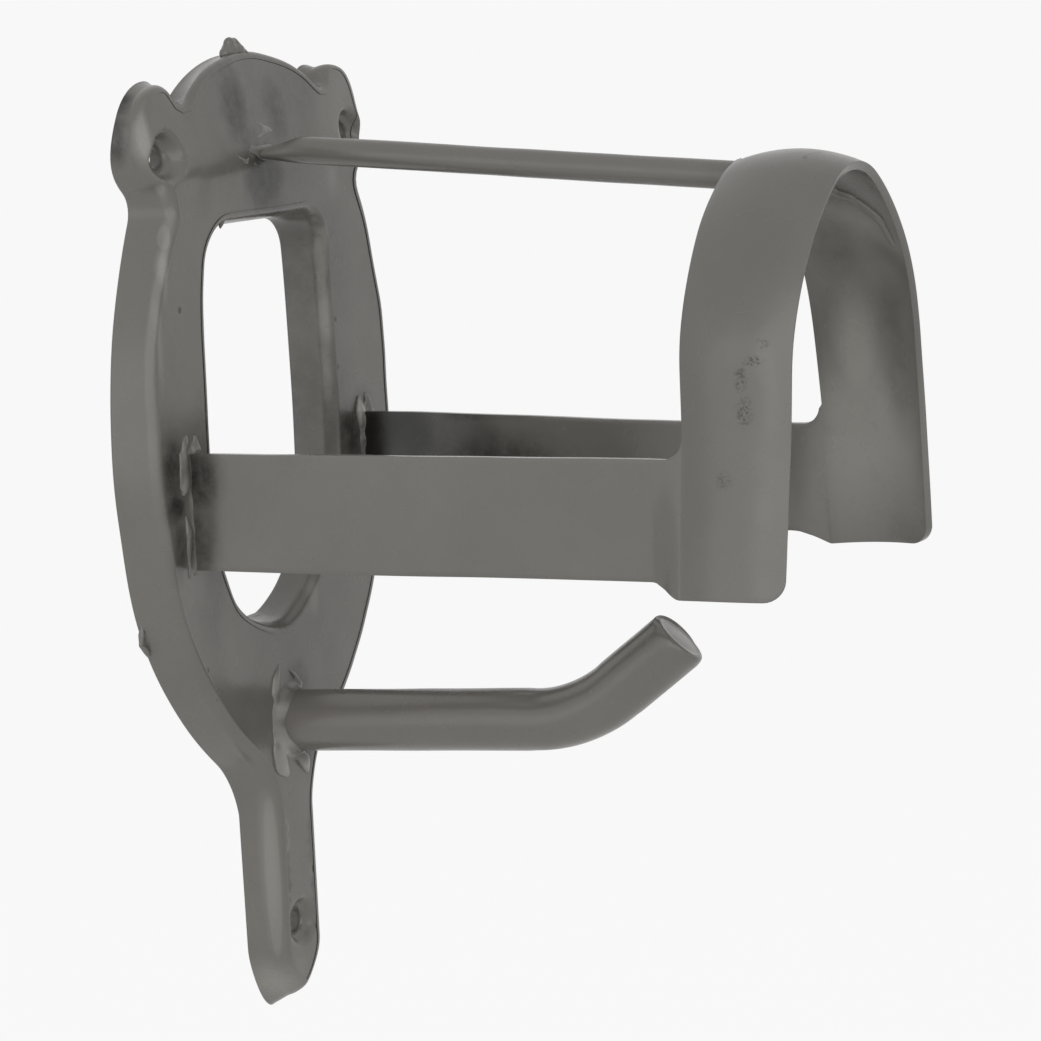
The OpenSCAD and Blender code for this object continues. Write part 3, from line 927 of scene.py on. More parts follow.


# Spots of each kind: middle, radius, strength, stretch and turn
# Its soot spots are soot together with painted shade in the screw holes, under the rod, round the hook,
# On the plate the highlight spots and stripes are painted highlights on the bends, the left ear and the
# tail.
# inside the window's flange and beside the arm welds. Its specks paint shade under the rod and in a
# weld's gap; the rest of them are small dots.
PLATE_MARKS = (
    *spots(Mark.PAINTED_HIGHLIGHT, ((-52, 10, 222.5), 6, 0.5, (0.6, 0.7, 1.6)), ((-3, 4, 7), 11, 0.75),
           ((-9.3, 7.5, 38), 10, 0.4, (0.4, 0.35, 3)),
           ((-47.6, 11.3, 205), 5, 0.55, (0.45, 0.5, 1.8)),
           ((-50, 11.8, 191), 5.5, 0.5, (0.4, 0.5, 2)),
           ((-53.4, 11.6, 173), 6, 0.35, (0.35, 0.5, 2.4)),
           ((26.8, 11.8, 189), 6, 0.6, (0.4, 0.6, 1.9)), ((28, 11, 173), 6, 0.6, (0.4, 0.6, 2.2)),
           ((28.2, 10.2, 157), 5, 0.5, (0.4, 0.6, 2)), ((14.5, 11, 101.5), 5, 0.5, (0.7, 1, 1.4))),
    *spots(Mark.PAINTED_BEND_HIGHLIGHT, ((-47.9, 11.2, 203), 10, 0.3, (0.16, 0.22, 1.1)),
           ((27.4, 11.2, 189), 9, 0.3, (0.2, 0.3, 1.2)),
           ((-9.6, 8.5, 34), 12, 0.25, (0.14, 0.2, 2.0))),
    *spots(Mark.SOOT_AND_SHADE, ((-49, 2.5, 231), 5, 1.0, (1, 1, 1.5)),
           ((-52.5, 2.5, 222.5), 5, 1.0, (1, 1, 1.8)), ((0, 13, 222), 48, 0.28, (1, 1, 0.8)),
           ((-11.4, 11.5, 228), 15, 0.95, (0.7, 1, 1.2)), ((8, 12, 226), 14, 0.8, (0.7, 1, 1)),
           ((-8, 13.6, 218), 10, 0.7), ((18, 12, 230), 22, 0.35), ((-16, 5, 235), 16, 0.3),
           ((-3, 13.6, 209.5), 15, 1.0, (1.05, 1, 0.95)), ((2, 13, 203), 10, 0.6),
           ((3.2, 11, 81.5), 9, 0.8), ((4.8, 11, 64.4), 6, 0.95), ((-51, 12.1, 133.4), 6.5, 1.0),
           ((-51, 12.1, 143), 9, 0.9, (0.8, 1, 1.4)), ((-49.5, 12.1, 123), 8, 0.7, (0.7, 1, 1.4)),
           ((36, 12, 141.7), 12, 0.8, (0.9, 1, 1.2)), ((41, 12, 146), 9, 0.8),
           ((27, 4, 185), 18, 0.4, (1, 2, 1.6)), ((27, 4, 150), 18, 0.4, (1, 2, 1.6)),
           ((-35, 12, 108), 12, 0.3, (1, 1, 2.2)), ((0, 11, 92), 40, 0.14),
           ((46, 13, 206), 10, 0.3), ((-44.3, 10, 217.5), 3.6, 0.9), ((44.3, 10, 217.5), 3.6, 0.9),
           ((0, 7.5, 20.3), 3.4, 0.9)),
    *spots(Mark.SPECK_AND_SHADE, ((-2.5, 13.6, 209.2), 9.5, 0.5, (1.1, 1, 0.8)),
           ((-6, 13.6, 212.0), 2.6, 0.8, (1.6, 1, 0.7)),
           ((-49.4, 12.1, 133.4), 2.6, 0.4, (1.2, 1, 1)), ((-43.5, 12, 180.6), 1.1, 0.8),
           ((31, 12, 170.8), 0.9, 0.8), ((31.2, 12, 158.5), 1.0, 0.8),
           ((-60.4, 5, 112.5), 1.2, 0.8), ((-38.6, 11.5, 91.8), 1.1, 0.8),
           ((-35.3, 11.5, 83.3), 1.2, 0.8), ((4, 11.8, 50), 0.9, 0.6), ((6, 11.8, 46), 0.8, 0.5)),
)


# Bridle arch


@dataclass
class BridleArch:
    """Crowned band bent over in three radii, its legs joggled into two flat arms."""

    sheet: float = 2.2
    top_z: float = 212.4
    back: float = 142.5
    band: float = 26.7
    top_r: float = 24.0
    top_angle: float = 31.0
    shoulder_r: float = 58.0
    flare: float = 7.0
    leg_end: float = 113.8
    crown: float = 2.6
    lean: float = 0.034
    dip: float = 1.9
    leg_corner_r: float = 5.0
    root_half: float = 43.7
    tip_half: float = 42.4
    arm_low: float = 117.2
    arm_top: float = 145.7
    joggle: float = 9.0
    fillet_r: float = 5.0
    root: float = 12.0
    edge_r: float = 0.85
    joint_rows: int = 24
    # How far this arch differs from the plain stamping
    far_fall: float = 1.9
    crown_dip: float = 0.9
    turn: float = 0.016
    shift: float = 1.3
    swell: float = 0.22
    # The arch's coat is a little darker than the plate's: painted shade over the whole arch
    coat: DipCoat = field(default_factory=lambda: DipCoat(
        "arch_coat", tone=(0.151, 0.143, 0.129), spots=ARCH_MARKS))

    def __post_init__(self) -> None:
        """Works out the path of the back rim."""
        a = math.radians(self.top_angle)
        self.top_c = (0.0, self.top_z - self.top_r)
        self.shoulder_c = (self.top_c[0] + (self.top_r - self.shoulder_r) * math.sin(a),
                           self.top_c[1] + (self.top_r - self.shoulder_r) * math.cos(a))
        f = math.radians(self.flare)
        self.leg_head = (self.shoulder_c[0] + self.shoulder_r * math.cos(f),
                         self.shoulder_c[1] + self.shoulder_r * math.sin(f))
        self.joint_top = self.arm_top + self.fillet_r

    def build(self) -> bpy.types.Object:
        """Builds and dresses the arch with its arms.

        Returns:
            The arch.
        """
        rows = self._rows()
        arm_y = self._arm_columns()
        shares = self._band_columns()
        shell = Shell()
        whole = [(1, i) for i in range(len(rows))] + [(-1, i) for i in range(len(rows) - 2, -1, -1)]
        grid = []
        for side, i in whole:
            arm = [self._arm_point(i, y) if i <= self.joint_rows else None for y in arm_y]
            band = [self._band_point(i, rows[i], v) for v in shares]
            line = [p and self._uneven(side * p[0], p[1], p[2]) for p in arm + band]
            grid.append([p and shell.add([p])[0] for p in line])
        for a, b in zip(grid, grid[1:]):
            for j in range(len(a) - 1):
                cell = (a[j], a[j + 1], b[j + 1], b[j])
                if None not in cell:
                    shell.faces.append(cell)
        obj = shell.make("bridle_arch_stamping", closed=False)
        self._face_out(obj)
        solid = obj.modifiers.new("sheet", "SOLIDIFY")
        solid.thickness = self.sheet * MM
        solid.offset = -1.0
        solid.use_even_offset = True
        rim = obj.modifiers.new("rim", "BEVEL")
        rim.width = self.edge_r * MM
        rim.segments = 3
        rim.limit_method = "ANGLE"
        rim.angle_limit = math.radians(55)
        apply_modifiers(obj)
        return dress(obj, self.coat, "arch_coat", "bridle_arch")

    @staticmethod
    def _face_out(obj: bpy.types.Object) -> None:
        """Makes the sheet's normals face away from the middle of the arch.

        Args:
            obj: The sheet.
        """
        face = max(obj.data.polygons, key=lambda f: f.center.z)
        if face.normal.z < 0:
            obj.data.flip_normals()

    def _rows(self) -> list[tuple[float, float, float, float]]:
        """Lays out the rows of half the arch, from the foot of a leg to the crown.

        Returns:
            Rows of x and height on the back rim and the way the sheet faces there.
        """
        f = math.radians(self.flare)
        leg = (math.cos(f), math.sin(f))
        joint = np.linspace(self.leg_end, self.joint_top, self.joint_rows + 1)
        above = np.linspace(self.joint_top, self.leg_head[1], 8)[1:]
        rows = [(self._leg_x(z), z, *leg) for z in (*joint, *above)]
        for c, r, lo, hi, n in ((self.shoulder_c, self.shoulder_r, self.flare, 90 - self.top_angle, 28),
                                (self.top_c, self.top_r, 90 - self.top_angle, 90, 14)):
            for a in np.radians(np.linspace(lo, hi, n + 1)[1:]):
                rows.append((c[0] + r * math.cos(a), c[1] + r * math.sin(a), math.cos(a), math.sin(a)))
        return rows

    def _arm_columns(self) -> list[float]:
        """Lays out the columns of an arm.

        Returns:
            Their distances from the wall, up to the back rim.
        """
        start = self.back - self.joggle
        fillet = [self.back - self.fillet_r * (1 - math.sin(a)) for a in np.radians(np.linspace(0, 90, 10))]
        return [*np.linspace(self.root, start, 36), start + 0.7, start + 1.4, *fillet[:-1]]

    def _band_columns(self) -> list[float]:
        """Lays out the columns of the band.

        Returns:
            Their shares of its width, from the back rim to the front rim.
        """
        corner = self.leg_corner_r / self.band
        arc = [1 - corner * (1 - math.sin(a)) for a in np.radians(np.linspace(0, 90, 9))]
        return [*np.linspace(0, 1 - corner, 14)[:-1], *arc]

    def _leg_x(self, z: float) -> float:
        """Distance of a leg's back rim from the middle, at a height."""
        return self.leg_head[0] + (self.leg_head[1] - z) * math.tan(math.radians(self.flare))

    def _arm_point(self, i: int, y: float) -> Point:
        """A point of an arm or its joggle.

        Args:
            i: Row, up to the top of the joint.
            y: Distance from the wall.

        Returns:
            The point.
        """
        share = float(ease((y - (self.back - self.joggle)) / self.joggle))
        low = self.arm_low + (self.leg_end - self.arm_low) * share
        away = min(max(0.0, y - (self.back - self.fillet_r)), self.fillet_r)
        high = self.joint_top - leg_of(self.fillet_r, away)
        z = low + (high - low) * i / self.joint_rows
        s = min(1.0, (y - self.root) / (self.back - self.joggle - self.root))
        flat = self.root_half + (self.tip_half - self.root_half) * s
        return (flat * (1 - share) + self._leg_x(z) * share, y, z)

    def _band_point(self, i: int, row: tuple[float, float, float, float], v: float) -> Point:
        """A point of the crowned band.

        Args:
            i: Row.
            row: Place on the back rim and the way the sheet faces.
            v: Share of the band's width.

        Returns:
            The point.
        """
        away = min(max(0.0, (v - 1) * self.band + self.leg_corner_r), self.leg_corner_r)
        lift = self.leg_corner_r - leg_of(self.leg_corner_r, away)
        z = row[1] + lift * max(0.0, 1 - i / self.joint_rows)
        x = self._leg_x(z) if i <= self.joint_rows else row[0]
        high = (z - self.leg_end) / (self.top_z - self.leg_end)
        bulge = self.crown * (1 - (2 * v - 1) ** 2)
        y = self.back + v * (self.band + self.lean * (z - (self.arm_low + self.arm_top) / 2))
        return (x + row[2] * bulge, y, z + row[3] * bulge - self.dip * v * high)

    def _uneven(self, x: float, y: float, z: float) -> Point:
        """Gives the stamping its slight unevenness, none at its welded roots.

        Args:
            x: Distance across.
            y: Distance from the wall.
            z: Height.

        Returns:
            The moved point.
        """
        swell = self.swell * float(climb(y, 14, 20))
        if x > 20:
            late = climb(y, 14, 110) * climb(z, 125, 18) * (1 - climb(z, 152, 14))
            z -= self.far_fall * float(late)
        z -= self.crown_dip * float(climb(z, 196, 12)) * max(0.0, 1 - (y - self.back) / 27)
        y -= self.turn * x * float(climb(y, 110, 30))
        x -= self.shift * float(climb(z, 145, 30))
        return (x + swell * wobble(x, y, z, 26, 2.2), y + swell * wobble(x, y, z, 30, 6.4),
                z + swell * wobble(x, y, z, 24, 9.1))


# On the arch the highlight spots are painted light on the far leg's inside and under the crown. The soot
# spots
# are painted shade on the far arm's inside near the plate, beside the left arm's weld and inside the crown;
# the larger specks paint shade on the far arm's inside, and two small ones mark the crown.
ARCH_MARKS = (
    *spots(Mark.PAINTED_HIGHLIGHT, ((41.5, 112, 132), 30, 0.4), ((43, 152, 145), 50, 0.8, (0.16, 0.5, 1)),
           ((40, 152.5, 160), 24, 0.9, (0.3, 0.4, 1.3)),
           ((27, 156, 193), 18, 0.35, (0.7, 0.9, 0.6))),
    *spots(Mark.SOOT_AND_SHADE, ((-44, 14, 140), 10, 0.9, (1, 1, 1.2)), ((-44, 13, 124), 9, 0.6, (1, 1, 1.6)),
           ((41.5, 20, 136), 26, 1.0), ((41.5, 48, 131), 34, 0.85, (1, 1.1, 0.42)),
           ((41.5, 84, 130), 30, 0.15, (1, 1.2, 0.36)), ((41, 40, 145.5), 34, 0.6, (1, 1, 0.08)),
           ((30, 151, 189), 13, 0.42, (1, 0.7, 1)), ((21, 156, 205), 10, 0.4),
           ((37, 163.5, 174), 12, 0.4, (1, 0.45, 1)), ((40, 163, 154), 16, 0.35, (1, 0.4, 1.2))),
    *spots(Mark.SPECK_AND_SHADE, ((41.4, 20, 141), 18, 0.95, (1, 1, 0.9)),
           ((41.5, 40, 137), 17, 0.45, (1, 1, 0.8)),
           ((-4.3, 163.6, 212.9), 1.0, 0.75, (8.5, 0.4, 1.2), -24),
           ((-9.2, 162.4, 212.2), 0.7, 0.8)),
    *spots(Mark.RASH, ((-43.9, 160.2, 157), 5, 0.9, (1, 0.6, 1)),
           ((-43.7, 159.4, 164.5), 4.4, 0.9, (1, 0.5, 1)),
           ((-42.9, 162.6, 168.5), 3.8, 0.9, (1, 1, 0.45)), ((-42.2, 164.6, 172.4), 2.2, 0.7),
           ((-45.8, 155, 141.5), 3.2, 0.5)),
)


# Bars


@dataclass(frozen=True)
class BarRing:
    """One ring of a swept bar.

    Attributes:
        middle: Distance from the wall and height of the ring's middle.
        heading: Direction of the bar above level, in degrees.
        wide: Radius across.
        tall: Radius up and down.
    """

    middle: tuple[float, float]
    heading: float
    wide: float
    tall: float


def sweep(shell: Shell, rings: Sequence[BarRing], sides: int,
          slide: Callable[[int, float, float], float] | None = None) -> None:
    """Sweeps a bar through its rings and closes its ends.

    Args:
        shell: Mesh that takes the faces.
        rings: Rings from the wall outwards.
        sides: Points in a ring.
        slide: Shift along the bar for a ring's number and a point's two shares.
    """
    rows = []
    for k, ring in enumerate(rings):
        h = math.radians(ring.heading)
        row = []
        for i in range(sides):
            a = 2 * math.pi * i / sides
            up = ring.tall * math.sin(a)
            along = slide(k, math.cos(a), math.sin(a)) if slide else 0.0
            row.append((ring.wide * math.cos(a),
                        ring.middle[0] - math.sin(h) * up + math.cos(h) * along,
                        ring.middle[1] + math.cos(h) * up + math.sin(h) * along))
        rows.append(row)
    index = shell.rings(rows)
    shell.faces.extend((tuple(index[0]), tuple(index[-1])))


@dataclass
class TieRod:
    """Round rod from the plate to the crown of the arch, squashed where it meets the plate."""

    radius: float = 3.45
    root_z: float = 216.7
    root: float = 13.7
    tip: tuple[float, float] = (148.5, 207.0)
    squash: float = 0.46
    squash_l: float = 12.0
    spread: float = 0.75
    bury: float = 1.0
    tip_round: float = 1.2
    ripple: float = 0.02
    sway: float = 0.12
    sag: float = 0.7
    coat: DipCoat = field(default_factory=lambda: DipCoat("rod_coat", spots=ROD_MARKS))

    def build(self) -> bpy.types.Object:
        """Builds and dresses the rod.

        Returns:
            The rod.
        """
        fall = math.degrees(math.atan2(self.tip[1] - self.root_z, self.tip[0] - self.root))
        rings = []
        for s in [*np.linspace(0, 0.16, 14), *np.linspace(0.19, 0.97, 40), 0.985, 0.993]:
            y = self.root - self.bury + (self.tip[0] - self.root + self.bury) * s
            z = self.root_z + (self.tip[1] - self.root_z) * (y - self.root) / (self.tip[0] - self.root)
            round_share = float(ease((y - self.root + self.bury) / self.squash_l))
            flat = 1 - (1 - self.squash) * (1 - round_share)
            r = self.radius * (1 + self.ripple * wobble(0, y, 0, 14, 4.4))
            z += self.sway * wobble(0, y, 0, 35, 7.7) - self.sag * self.radius * (1 - flat)
            rings.append(BarRing((y, z), fall, r * (1 + self.spread - self.spread * flat), r * flat))
        for a in np.radians(np.linspace(0, 90, 5)[1:]):
            r = self.radius - self.tip_round * (1 - math.cos(a))
            rings.append(BarRing((self.tip[0] - 1.0 + math.sin(a), self.tip[1]), fall, r, r))
        shell = Shell()
        sweep(shell, rings, 40)
        return dress(shell.make("tie_rod_bar"), self.coat, "rod_coat", "tie_rod")


# A painted highlight on the rod's root, and painted shade under the rod
ROD_MARKS = (
    *spots(Mark.PAINTED_HIGHLIGHT, ((-3, 14, 218), 7, 0.7, (1, 1, 0.35))),
    *spots(Mark.SOOT_AND_SHADE, ((0, 14, 212.5), 10, 0.6, (1, 2, 0.5))),
)


@dataclass
class ReinsHook:
    """Round bar with one bend and a sheared end with a rolled rim."""

    radius: float = 7.75
    root_z: float = 72.3
    root: float = 12.0
    rise: float = 2.4
    straight: float = 69.0
    bend_r: float = 39.0
    tip_angle: float = 37.6
    tip_l: float = 22.2
    rim_r: float = 1.7
    shear: tuple[float, float] = (1.5, 1.3)
    sides: int = 72
    bury: float = 2.4
    bend_flat: float = 0.985
    ripple: Point = (0.12, 0.08, 0.14)
    dish: tuple[tuple[float, float], ...] = (
        (0.93, 0.10), (0.86, 0.16), (0.7, 0.12), (0.45, 0.0), (0.2, 0.0), (0.05, 0.0))
    coat: DipCoat = field(default_factory=lambda: DipCoat("hook_coat", spots=HOOK_MARKS))

    def build(self) -> bpy.types.Object:
        """Builds and dresses the hook.

        Returns:
            The hook.
        """
        rings, faces = self._rings()
        shell = Shell()

        def slide(k: int, across: float, up: float) -> float:
            """Shifts the first ring into the plate and leans the sheared end.

            Args:
                k: Number of the ring.
                across: A point's share of the radius across.
                up: Its share of the radius upwards.

            Returns:
                The shift along the bar.
            """
            if k == 0:
                return -self.bury
            late = float(ease(3 * (k - faces) / (len(rings) - 1 - faces)))
            return -(self.shear[0] * across + self.shear[1] * up) * late * rings[k].wide / self.radius

        sweep(shell, rings, self.sides, slide)
        shell.points = [self._uneven(*p) for p in shell.points]
        return dress(shell.make("reins_hook_bar"), self.coat, "hook_coat", "hook")

    def _rings(self) -> tuple[list[BarRing], int]:
        """Rings of the bar.

        Returns:
            The rings, and the number of the first one of the rolled rim.
        """
        along, across = self._directions(self.rise)
        start = np.array([self.root, self.root_z])
        bend_c = start + self.straight * along + self.bend_r * across
        rings = [BarRing(tuple(start + along * s), self.rise, self.radius, self.radius)
                 for s in np.linspace(0, self.straight, 30)[:-1]]
        for h in np.linspace(self.rise, self.tip_angle, 22):
            along, across = self._directions(h)
            end = bend_c - self.bend_r * across
            rings.append(BarRing(tuple(end), h, self.radius, self.radius * self.bend_flat))
        for s in np.linspace(0, self.tip_l - self.rim_r, 12)[1:-1]:
            rings.append(BarRing(tuple(end + along * s), self.tip_angle, self.radius, self.radius))
        faces = len(rings)
        last = [(self.radius - self.rim_r * (1 - math.cos(b)), self.rim_r * (1 - math.sin(b)))
                for b in np.radians(np.linspace(0, 90, 9))]
        last += [((self.radius - self.rim_r) * share, depth) for share, depth in self.dish]
        for r, short in last:
            middle = tuple(end + along * (self.tip_l - short))
            rings.append(BarRing(middle, self.tip_angle, r, r))
        return rings, faces

    @staticmethod
    def _directions(angle: float) -> tuple[np.ndarray, np.ndarray]:
        """Unit directions along and across a bar that climbs by an angle in degrees."""
        t = math.radians(angle)
        return np.array([math.cos(t), math.sin(t)]), np.array([-math.sin(t), math.cos(t)])

    def _uneven(self, x: float, y: float, z: float) -> Point:
        """Gives the bar its slight unevenness.

        Args:
            x: Distance across.
            y: Distance from the wall.
            z: Height.

        Returns:
            The moved point.
        """
        rx, ry, rz = self.ripple
        return (x + rx * wobble(x, y, z, 16, 3.3), y + ry * wobble(x, y, z, 14, 5.1),
                z + rz * wobble(x, y, z, 18, 8.8))


# Painted shade above and under the hook's root; the third spot darkens a patch further out on the bar
HOOK_MARKS = (
    *spots(Mark.SOOT_AND_SHADE, ((5, 14, 78), 7, 0.7), ((0, 13, 66), 7, 0.6),
           ((-3, 100, 99), 6, 0.5, (1.4, 0.5, 1))),
)


# Welds


@dataclass(frozen=True)
class Lump:
    """One lump of a bead.

    Attributes:
        at: Middle: x, out of the wall, up.
        size: Radii along x, out of the wall and up.
    """

    at: Point
    size: Point


def flow(path: Sequence[Point], radii: Sequence[float], shape: Point = (1.0, 1.0, 1.0),
         seed: float = 0.0, uneven: float = 0.0) -> list[Lump]:
    """Draws a lump out along a path.

    Args:
        path: Middle of the flow from end to end.
        radii: Its radius at each point of the path.
        shape: Factors of the radius along x, out of the wall and up.
        seed: Offset of its unevenness.
        uneven: Share by which its radius swells and narrows.

    Returns:
        Lumps close enough to melt into one.
    """
    places = np.array(path, float)
    reach = np.concatenate([[0.0], np.cumsum(np.linalg.norm(np.diff(places, axis=0), axis=1))])
    lumps = []
    for at in np.linspace(0.0, reach[-1], max(2, int(reach[-1] / 0.55))):
        x, out, z = (float(np.interp(at, reach, places[:, k])) for k in range(3))
        r = float(np.interp(at, reach, radii)) * (1 + uneven * wobble(x, out, z, 3.2, seed))
        lumps.append(Lump((x, out, z), tuple(r * s for s in shape)))
    return lumps


def flows(runs: Iterable[tuple]) -> list[Lump]:
    """Lumps of several flows, each given as the arguments of one flow."""
    return [lump for run in runs for lump in flow(*run)]


@dataclass(frozen=True)
class Station:
    """Section of a hollow fillet between two surfaces.

    Attributes:
        corner: Where the surfaces meet.
        along: Unit direction of the first surface.
        up: Unit direction of the second surface.
        legs: How far the fillet reaches along each.
    """

    corner: Point
    along: Point
    up: Point
    legs: tuple[float, float]


def cove(stations: Sequence[Station], ring: bool, deep: float = 0.8) -> Shell:
    """Runs a hollow fillet through its stations.

    Args:
        stations: Sections of the fillet.
        ring: True where the last section meets the first.
        deep: How far it reaches into the surfaces.

    Returns:
        The closed fillet.
    """
    shell = Shell()
    rows = []
    for s in stations:
        c, a, b = (np.array(v, float) for v in (s.corner, s.along, s.up))
        la, lb = s.legs
        row = [c + a * la * (1 - math.sin(t)) + b * lb * (1 - math.cos(t))
               for t in np.radians(np.linspace(0, 90, 9))]
        rows.append(row + [c + b * lb - a * deep, c - (a + b) * deep, c + a * la - b * deep])
    index = shell.rings(rows)
    if ring:
        shell.bridge(index[-1], index[0])
    else:
        shell.faces.extend((tuple(index[0]), tuple(index[-1])))
    return shell


def melt(name: str, lumps: Sequence[Lump], voxel: float, rounds: int,
         coves: Sequence[Shell] = ()) -> bpy.types.Object:
    """Melts lumps and fillets into one smooth body.

    Args:
        name: Name of the piece.
        lumps: The lumps.
        voxel: Size of the remesh in millimetres.
        rounds: Rounds of smoothing.
        coves: The fillets.

    Returns:
        The new object.
    """
    bm = bmesh.new()
    for shell in coves:
        corners = [bm.verts.new(in_frame(*p)) for p in shell.points]
        for face in shell.faces:
            bm.faces.new([corners[i] for i in face])
    bmesh.ops.recalc_face_normals(bm, faces=bm.faces)
    for lump in lumps:
        size = Matrix.Diagonal((*(s * MM for s in lump.size), 1.0))
        bmesh.ops.create_icosphere(bm, subdivisions=2, radius=1.0,
                                   matrix=Matrix.Translation(in_frame(*lump.at)) @ size)
    mesh = bpy.data.meshes.new(name)
    bm.to_mesh(mesh)
    bm.free()
    obj = placed(name, mesh)
    one = obj.modifiers.new("one body", "REMESH")
    one.mode = "VOXEL"
    one.voxel_size = voxel * MM
    soften = obj.modifiers.new("soften", "SMOOTH")
    soften.factor = 0.6
    soften.iterations = rounds
    apply_modifiers(obj)
    return obj


@dataclass
class WeldBeads:
    """Rough beads that join the bars and the arch to the plate."""

    voxel: float = 0.45
    smoothing: int = 6
    face: float = 12.0
    collar_rough: float = 0.45
    arm_rough: float = 0.5
    fade: float = 2.5
    coat: DipCoat = field(default_factory=lambda: DipCoat(
        "bead_coat", tone=(0.148, 0.14, 0.127), peel=0.09, mottle=0.8, spots=BEAD_MARKS))

    def build(self) -> list[bpy.types.Object]:
        """Builds and dresses the five beads.

        Returns:
            The beads.
        """
        beads = (
            ("left_arm_bead", "left_arm_weld", self._arm(-1), self._arm_coves(-1)),
            ("right_arm_bead", "right_arm_weld", self._arm(1), self._arm_coves(1)),
            ("rod_plate_bead", "rod_plate_weld", flows(ROD_ROOT_RUNS),
             [self._collar(*ROD_COLLAR)]),
            ("rod_arch_bead", "rod_arch_weld", self._rod_tip(), []),
            ("hook_bead", "hook_weld", flows(HOOK_RUNS), [self._collar(*HOOK_COLLAR)]))
        return [dress(melt(name, [self._seated(lump) for lump in lumps], self.voxel,
                           self.smoothing, coves), self.coat, "bead_coat", node)
                for name, node, lumps, coves in beads]

    def _seated(self, lump: Lump) -> Lump:
        """Moves a lump with the plate that it lies on."""
        x, out, z = lump.at
        return Lump((x, out + (SPRING.at(self.face, z) if out < 30 else 0.0), z), lump.size)

    def _collar(self, z: float, bar: tuple[float, float], legs: tuple[float, float],
                seed: float) -> Shell:
        """Hollow fillet round the root of a bar.

        Args:
            z: Height of the bar's middle.
            bar: Half width and half height of the bar.
            legs: How far the fillet reaches along the plate and along the bar.
            seed: Offset of its unevenness.

        Returns:
            The fillet.
        """
        face = self.face + SPRING.at(self.face, z)
        stations = []
        for a in np.radians(np.arange(0, 360, 7.5)):
            c, s = math.cos(a), math.sin(a)
            near = 1 + self.collar_rough * wobble(4 * c, 0.0, 4 * s, 3.0, seed)
            far = 1 + self.collar_rough * wobble(4 * c, 9.0, 4 * s, 2.6, seed + 5)
            stations.append(Station((bar[0] * c, face, z + bar[1] * s), (c, 0.0, s),
                                    (0.0, 1.0, 0.0), (legs[0] * near, legs[1] * far)))
        return cove(stations, True)

    def _arm_coves(self, side: int) -> list[Shell]:
        """Hollow fillets at the root of an arm, outside and inside.

        Args:
            side: -1 for the left arm and 1 for the right.

        Returns:
            The fillets.
        """
        fillets = []
        for x, way, low, high, reach in ARM_FILLETS:
            stations = []
            for z in np.linspace(low, high, 34):
                end = float(ease((z - low) / self.fade + 0.15) * ease((high - z) / self.fade + 0.15))
                near = end * (1 + self.arm_rough * wobble(0.0, way, z, 3.4, 2.5 + side))
                far = end * (1 + self.arm_rough * wobble(3.0, way, z, 3.0, 8.5 + side))
                stations.append(Station((side * x, self.face, z), (side * way, 0.0, 0.0),
                                        (0.0, 1.0, 0.0), (reach[0] * near, reach[1] * far)))
            fillets.append(cove(stations, False))
        return fillets

    @staticmethod
    def _arm(side: int) -> list[Lump]:
        """Lumps of the bead at the root of the arm on this side, -1 for left and 1 for right."""
        return [Lump((side * lump.at[0], *lump.at[1:]), lump.size) for lump in flows(ARM_RUNS)]

    @staticmethod
    def _rod_tip() -> list[Lump]:
        """Lays the bead between the rod and the arch.

        Returns:
            Its lumps.
        """
        turn = np.radians(np.arange(-75, 76, 10))
        return flow([(3.0 * math.sin(a), 141.6, 207.0 + 3.1 * math.cos(a)) for a in turn],
                    [1.7] * len(turn), seed=4.0, uneven=0.2)


# Fillets round the bars: height, half width and half height of the bar, reach along the plate
# and along the bar, and seed
ROD_COLLAR = (215.2, (4.6, 1.5), (0.7, 0.9), 2.0)
HOOK_COLLAR = (72.3, (7.5, 7.5), (2.6, 6.6), 6.0)
# Fillets outside and inside an arm: place across, way out of the arm, lowest and highest point,
# reach along the plate and along the arm
ARM_FILLETS = ((43.5, 1, 115.8, 147.6, (1.8, 0.8)), (41.6, -1, 116.5, 148.6, (1.6, 1.5)))
# Runs of the beads: path, radii, shape, seed and unevenness. The arm has two main runs with a
# pit between them, a ripple outside and a run inside
ARM_RUNS = (
    ([(44.6, 12.0, 150.0), (45.8, 12.1, 147.0), (46.2, 12.1, 143.6), (46.0, 12.3, 140.2),
      (46.8, 12.1, 136.4)], [0.6, 1.2, 1.5, 1.3, 0.8], (1.25, 0.9, 1.0), 5.0, 0.5),
    ([(46.4, 12.0, 130.8), (45.8, 12.1, 126.0), (45.9, 12.1, 120.6), (45.2, 12.0, 115.8)],
     [0.6, 1.1, 0.9, 0.7], (1.25, 0.9, 1.0), 7.0, 0.5),
    ([(47.8, 12.2, 146.4), (48.2, 12.4, 141.6), (48.6, 12.2, 138.0)],
     [0.4, 0.7, 0.4], (1.0, 0.9, 1.0), 2.0, 0.4),
    ([(40.8, 12.2, 149.6), (40.4, 12.4, 146.0), (40.6, 12.4, 142.5)],
     [0.7, 1.2, 0.9], (1.0, 0.9, 1.0), 1.0, 0.3),
)
